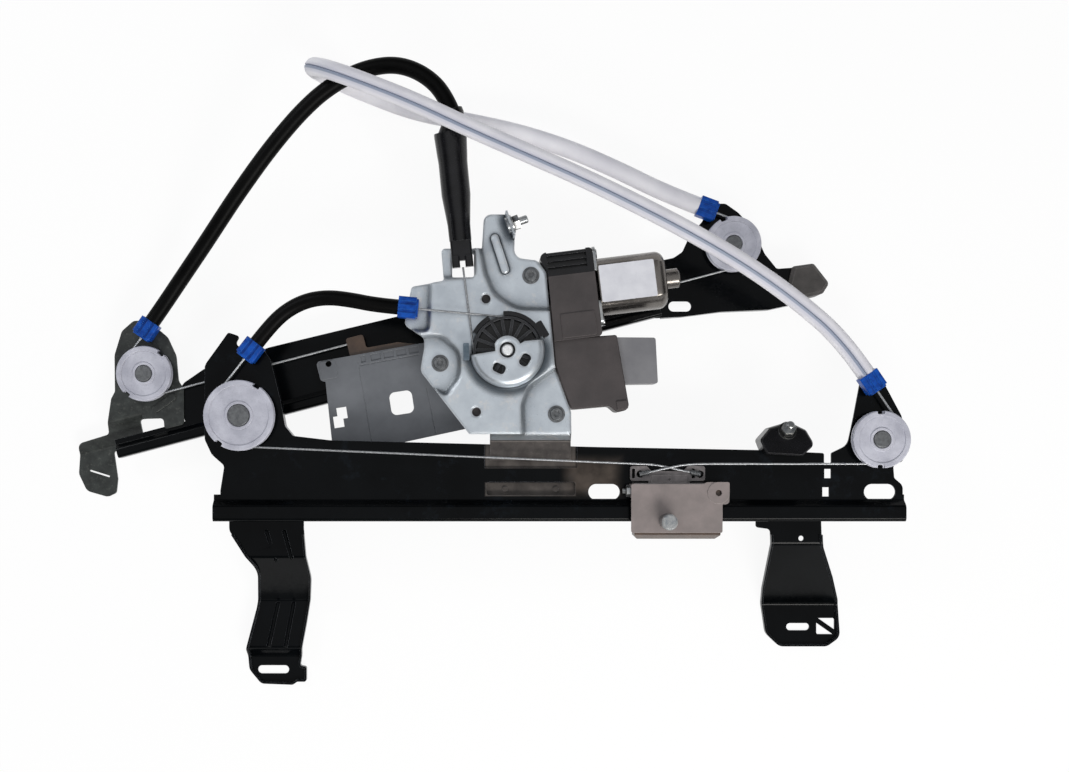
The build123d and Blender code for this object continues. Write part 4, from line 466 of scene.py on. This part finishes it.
# ---- sheaths: foam sleeves over the cable's conduit, each slit lengthways -------------------
SHORT_ROUTE = (
    (-62.57, 74.1, 77), (-80.1, 75.75, 77), (-98.44, 79.5, 76.9), (-115.54, 81.6, 76.2),
    (-131.84, 79.5, 74.4), (-146.84, 72.6, 71.9), (-159.67, 61.49, 70), (-170.51, 47.62, 70),
)
LONG_ROUTE = (
    (-259.87, 67.72, 27), (-250.73, 80.86, 27), (-238.94, 97, 30.5), (-226.64, 112.6, 36.5),
    (-214.34, 128.1, 43), (-202.24, 143.9, 49.3), (-190.14, 159.8, 55), (-177.64, 175.6, 60),
    (-164.74, 191.6, 64.3), (-151.14, 207.2, 68.2), (-136.74, 222.3, 71.8), (-120.94, 236, 75),
    (-102.94, 246.9, 78), (-83.24, 254, 80.7), (-62.34, 255.5, 82.9), (-42.84, 247.8, 84),
    (-27.74, 233.2, 84.2), (-20.94, 216.3, 84.2),
)
WHITE_ROUTE = (
    (291.94, 23.82, 70), (273.99, 50.3, 70), (238.06, 79.5, 75.5), (199.56, 104.7, 83.4),
    (159.26, 126.7, 90.8), (117.96, 146.8, 96.9), (76.16, 166, 101.7), (33.76, 183.8, 105.6),
    (-8.64, 201.7, 108.5), (-50.54, 221.1, 110.2), (-93.34, 237.7, 110.2), (-115.44, 248.4, 96.7),
    (-128.24, 256.9, 73.3), (-128.24, 261, 46.3), (-115.44, 259.7, 22.9), (-93.34, 253.2, 9.4),
    (-52.64, 237.5, 9.4), (-11.54, 228.2, 18.6), (29.56, 217.8, 25.1), (69.96, 204.2, 27.9),
    (109.16, 187, 28), (145.66, 169.16, 27), (171.84, 159.22, 27),
)
SEAM_WIDTH, SEAM_DEPTH = 1.4, 1.1     # of the slit along a sleeve
SECTION_STEPS = 30                    # flats round a sleeve


def sleeve_section(radius, seam_at):
    """The closed outline of a sleeve: a circle with a narrow slit at an angle in degrees."""
    outline = bpy.data.curves.new("sleeve_section", "CURVE")
    outline.dimensions = "2D"
    seam = radians(seam_at)
    half = SEAM_WIDTH / 2 / radius
    step = (2 * pi - 2 * half) / SECTION_STEPS
    angles = [seam + half + step * i for i in range(SECTION_STEPS + 1)]
    points = [(radius * cos(angle), radius * sin(angle)) for angle in angles]
    floor_radius = radius - SEAM_DEPTH
    points.append((floor_radius * cos(seam), floor_radius * sin(seam)))
    spline = outline.splines.new("POLY")
    spline.points.add(len(points) - 1)
    for target, (x, y) in zip(spline.points, points):
        target.co = (x * MM, y * MM, 0, 1)
    spline.use_cyclic_u = True
    section = bpy.data.objects.new("sleeve_section", outline)
    scene.collection.objects.link(section)
    return section


def sheath(node, route, diameter, seam_at):
    """A sleeve along its route, from one cable guide to the other."""
    curve = nurbs(route, node + "_line")
    path = [tuple(vert.co) for vert in mesh_of(curve).vertices]
    curve.bevel_mode = "OBJECT"
    curve.bevel_object = sleeve_section(diameter / 2, seam_at)
    curve.use_fill_caps = True
    mesh = mesh_of(curve)
    bpy.data.objects.remove(curve.bevel_object)
    bm = bmesh.new()
    bm.from_mesh(mesh)
    bmesh.ops.remove_doubles(bm, verts=bm.verts, dist=0.01 * MM)
    bmesh.ops.recalc_face_normals(bm, faces=bm.faces)
    shade(bm, 40)
    bm.to_mesh(mesh)
    bm.free()
    obj = piece(node + "_sleeve", mesh, "root", SLOT_OF[node])
    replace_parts(obj, node)


sheath("short_sheath", SHORT_ROUTE, 11.5, 270)
sheath("long_sheath", LONG_ROUTE, 12.5, 270)
sheath("white_sheath", WHITE_ROUTE, 14, 100)


# ---- cables -----------------------------------------------------------------------------------
CABLE_R = 0.8
RUN_END_REACH = 3          # a straight run's end ring lies this near to its end point


def cable_rest(node, far_ends):
    """The part of a CAD cable that stays with the rails: all but its straight run to a carrier."""
    bm = merged(node)
    run = [vert for vert in bm.verts
           if any((vert.co - mm(*end)).length < RUN_END_REACH * MM for end in far_ends)]
    bmesh.ops.delete(bm, geom=run, context="VERTS")
    bmesh.ops.holes_fill(bm, edges=bm.edges, sides=0)
    obj = settle(bm, node + "_at_pulley", "root", "steel_cable", sharp=50)
    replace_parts(obj, node)


def cable_run(name, points):
    """A cable from its pulley to its end on a carrier, which draws it along its rail.

    It is one tube through its points, riding on no body.
    """
    curve = nurbs(points, name)
    curve.bevel_depth = CABLE_R * MM
    curve.bevel_resolution = 2
    curve.use_fill_caps = True
    bm = bmesh.new()
    bm.from_mesh(mesh_of(curve))
    bmesh.ops.remove_doubles(bm, verts=bm.verts, dist=0.005 * MM)
    bmesh.ops.recalc_face_normals(bm, faces=bm.faces)
    obj = settle(bm, name, None, "steel_cable", sharp=50)
    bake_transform(obj)


LOWER_LEFT_END, LOWER_RIGHT_END = (116.36, -44.1, 70), (166.36, -44.2, 70)
UPPER_LEFT_END, UPPER_RIGHT_END = (-103.63, 50.27, 27), (-20.4, 52.26, 27)
cable_rest("lower_left_cable", [LOWER_LEFT_END])
cable_rest("crossing_cable", [LOWER_RIGHT_END, UPPER_RIGHT_END])
cable_rest("upper_left_cable", [UPPER_LEFT_END])
# the lower cables cross over the holder, each to the far end of it
cable_run("lower_left_run", (
    (-184.76, -30.98, 70), (-100, -34.68, 70), (60, -41.65, 70), LOWER_LEFT_END,
    (129.5, -44.6, 69.9), (141.4, -46.6, 69.4), (153, -49.6, 69), (162, -51, 68.8),
))
cable_run("lower_right_run", (
    (303.16, -44.2, 70), (260, -44.2, 70), (200, -44.2, 70), LOWER_RIGHT_END,
    (153.5, -44.9, 70.8), (141.2, -47.2, 71.1), (130, -50.1, 70), (122.5, -51.4, 68.8),
))
cable_run("upper_left_run", (
    (-261.22, 8.71, 27), (-221.8, 19.1, 27), (-143, 39.9, 27), UPPER_LEFT_END, (-101.7, 50.8, 27),
))
cable_run("upper_right_run", (
    (204.01, 111.14, 27), (147.9, 96.4, 27), (35.7, 66.98, 27), UPPER_RIGHT_END, (-22.3, 51.8, 27),
))
# crimped ferrules that hold the lower cables' ends, with pressed rings
RINGS, RING_PITCH, FERRULE_LENGTH = 5, 1.5, 8.2
FERRULE = [(0, 0), (1.5, 0)]
for start in [RING_PITCH * ring for ring in range(RINGS)]:
    FERRULE += [(2.0, 0.5 + start), (2.0, 1.3 + start), (1.6, 1.5 + start)]
FERRULE += [(1.2, FERRULE_LENGTH), (0, FERRULE_LENGTH)]
bm = bmesh.new()
for seat, along in (((120, -52.2, 68.8), (1, 0.22, 0)), ((166.6, -52.2, 68.8), (-1, 0.22, 0))):
    turned(bm, FERRULE, seat, along, segments=20)
ferrules = settle(bm, "cable_ferrules", "lower_carrier", "zinc_hardware", turned_steel)
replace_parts(ferrules, "lower_cable_ends")


# ---- everything else keeps its CAD shape ------------------------------------------------------
APART = {"short_sheath", "long_sheath", "white_sheath", "lower_left_cable", "crossing_cable",
         "upper_left_cable", "lower_cable_ends", "motor_can", "lower_carrier_slider", "gear_plate",
         "gearbox_housing", "drum_guard"}
OWN_FINISH = {"output_shaft": highlit_polished_steel, "tensioner_boot": boot_rubber,
              "cable_drum": drum_nylon, "lower_rail": rail_with_grease_and_sheen}
for node in frame["nodes"]:
    if node not in APART:
        dress(node, OWN_FINISH.get(node))

MOTOR_TILT = radians(7)    # that the motor's axis rises to the right
TO_DRUM = (-cos(MOTOR_TILT), -sin(MOTOR_TILT), 0)
ACROSS_MOTOR = (-sin(MOTOR_TILT), cos(MOTOR_TILT), 0)
# the flange, the housing's ribbed end, the guard's clip, the tab on the rail, the cable holder
dress_in_two("motor_can", (89.06, 90.9, 58), TO_DRUM, "zinc_hardware", zinc)
dress_in_two("gearbox_housing", (60, 98.5, 0), ACROSS_MOTOR, "drum_nylon", black_nylon)
dress_in_two("drum_guard", (-7, 0, 0), (-1, 0, 0), "spring_steel", blued_clip)
# the tab on the rail takes painted shade and grease in its own finish
dress_in_two("gear_plate", (0, -26.2, 0), (0, -1, 0), "galvanised_steel", shaded_greasy_sheet)
dress_in_two("lower_carrier_slider", (0, -60.2, 0), (0, 1, 0), "carrier_moulding", grey_acetal)


# ---- motor label: a blank sheet with rounded corners on the can's flat -------------------------
LABEL = (42, 28, 0.15)
LABEL_AT = (110.6, 94.2, 76.08)
LABEL_CORNER = 1.2
bm = bmesh.new()
bmesh.ops.create_cube(bm, size=1)
bmesh.ops.scale(bm, vec=mm(*LABEL), verts=bm.verts)
upright = [edge for edge in bm.edges
           if abs(edge.verts[0].co.z - edge.verts[1].co.z) > LABEL[2] / 2 * MM]
bmesh.ops.bevel(bm, geom=upright, affect="EDGES", offset=LABEL_CORNER * MM, segments=4,
                profile=0.5, material=-1)
bmesh.ops.rotate(bm, cent=(0, 0, 0), matrix=Matrix.Rotation(MOTOR_TILT, 3, "Z"), verts=bm.verts)
bmesh.ops.translate(bm, vec=mm(*LABEL_AT), verts=bm.verts)
settle(bm, "motor_label", "root", "white_sheath", bare_label)


# ---- floor, room and light, in metres -------------------------------------------------------
FLOOR_REACH = 12           # from the middle to each side
WHITE_SHARE = 0.92
floor_material = bpy.data.materials.new("pale_floor")
floor_material.use_nodes = True
floor_main = floor_material.node_tree.nodes["Principled BSDF"]
floor_main.inputs["Base Color"].default_value = linear("#f4f4f4")
floor_main.inputs["Roughness"].default_value = 0.9
# seen straight, in gloss or through something it is nearly plain white, and keeps a faint shadow
rays = add(floor_material, "LightPath")
seen = add(floor_material, "Math", {}, [(0, rays, "Is Camera Ray"), (1, rays, "Is Glossy Ray")],
           operation="MAXIMUM")
seen_through = add(floor_material, "Math", {},
                   [(0, seen, "Value"), (1, rays, "Is Transmission Ray")], operation="MAXIMUM")
share = add(floor_material, "Math", {1: WHITE_SHARE}, [(0, seen_through, "Value")],
            operation="MULTIPLY")
glow = add(floor_material, "Emission", {"Color": (1, 1, 1, 1), "Strength": 1.0})
mixer = add(floor_material, "MixShader", {},
            [(0, share, "Value"), (1, floor_main, "BSDF"), (2, glow, "Emission")])
surface = floor_material.node_tree.nodes["Material Output"].inputs["Surface"]
floor_material.node_tree.links.new(mixer.outputs["Shader"], surface)
bm = bmesh.new()
bmesh.ops.create_grid(bm, x_segments=1, y_segments=1, size=FLOOR_REACH)
floor_mesh = bpy.data.meshes.new("floor")
bm.to_mesh(floor_mesh)
bm.free()
floor_mesh.materials.append(floor_material)
floor = bpy.data.objects.new("floor", floor_mesh)
scene.collection.objects.link(floor)

# the room: a bright ceiling and a pale horizon with a dim band between them, which draws pressed
# steps and rounded corners dark on bright sheet
world = bpy.data.worlds.new("studio")
scene.world = world
world.use_nodes = True
backdrop = world.node_tree.nodes["Background"]
way = add(world, "TexCoord")
height = add(world, "SeparateXYZ", {}, [("Vector", way, "Generated")])
ceiling = add(world, "MapRange",
              {"From Min": 0.62, "From Max": 0.97, "To Min": 0.06, "To Max": 0.85},
              [("Value", height, "Z")], interpolation_type="SMOOTHSTEP")
horizon = add(world, "MapRange", {"From Min": 0.36, "From Max": 0.14, "To Max": 0.8},
              [("Value", height, "Z")], interpolation_type="SMOOTHSTEP")
room = add(world, "Math", {}, [(0, ceiling, "Result"), (1, horizon, "Result")], operation="ADD")
backdrop.inputs["Color"].default_value = (0.97, 0.98, 1, 1)
world.node_tree.links.new(room.outputs["Value"], backdrop.inputs["Strength"])


def lamp(name, place, size, power, colour):
    """A large soft area lamp that looks at the middle of the object."""
    data = bpy.data.lights.new(name, "AREA")
    data.shape = "RECTANGLE"
    data.size, data.size_y = size
    data.energy = power
    data.color = colour
    obj = bpy.data.objects.new(name, data)
    obj.location = place
    obj.rotation_euler = (-Vector(place)).to_track_quat("-Z", "Y").to_euler()
    scene.collection.objects.link(obj)


lamp("key", (0.5, -1.15, 1.25), (1.0, 0.5), 22, (1, 0.98, 0.95))
lamp("fill", (-1.1, 0.9, 1.2), (0.5, 0.5), 8, (0.94, 0.97, 1))
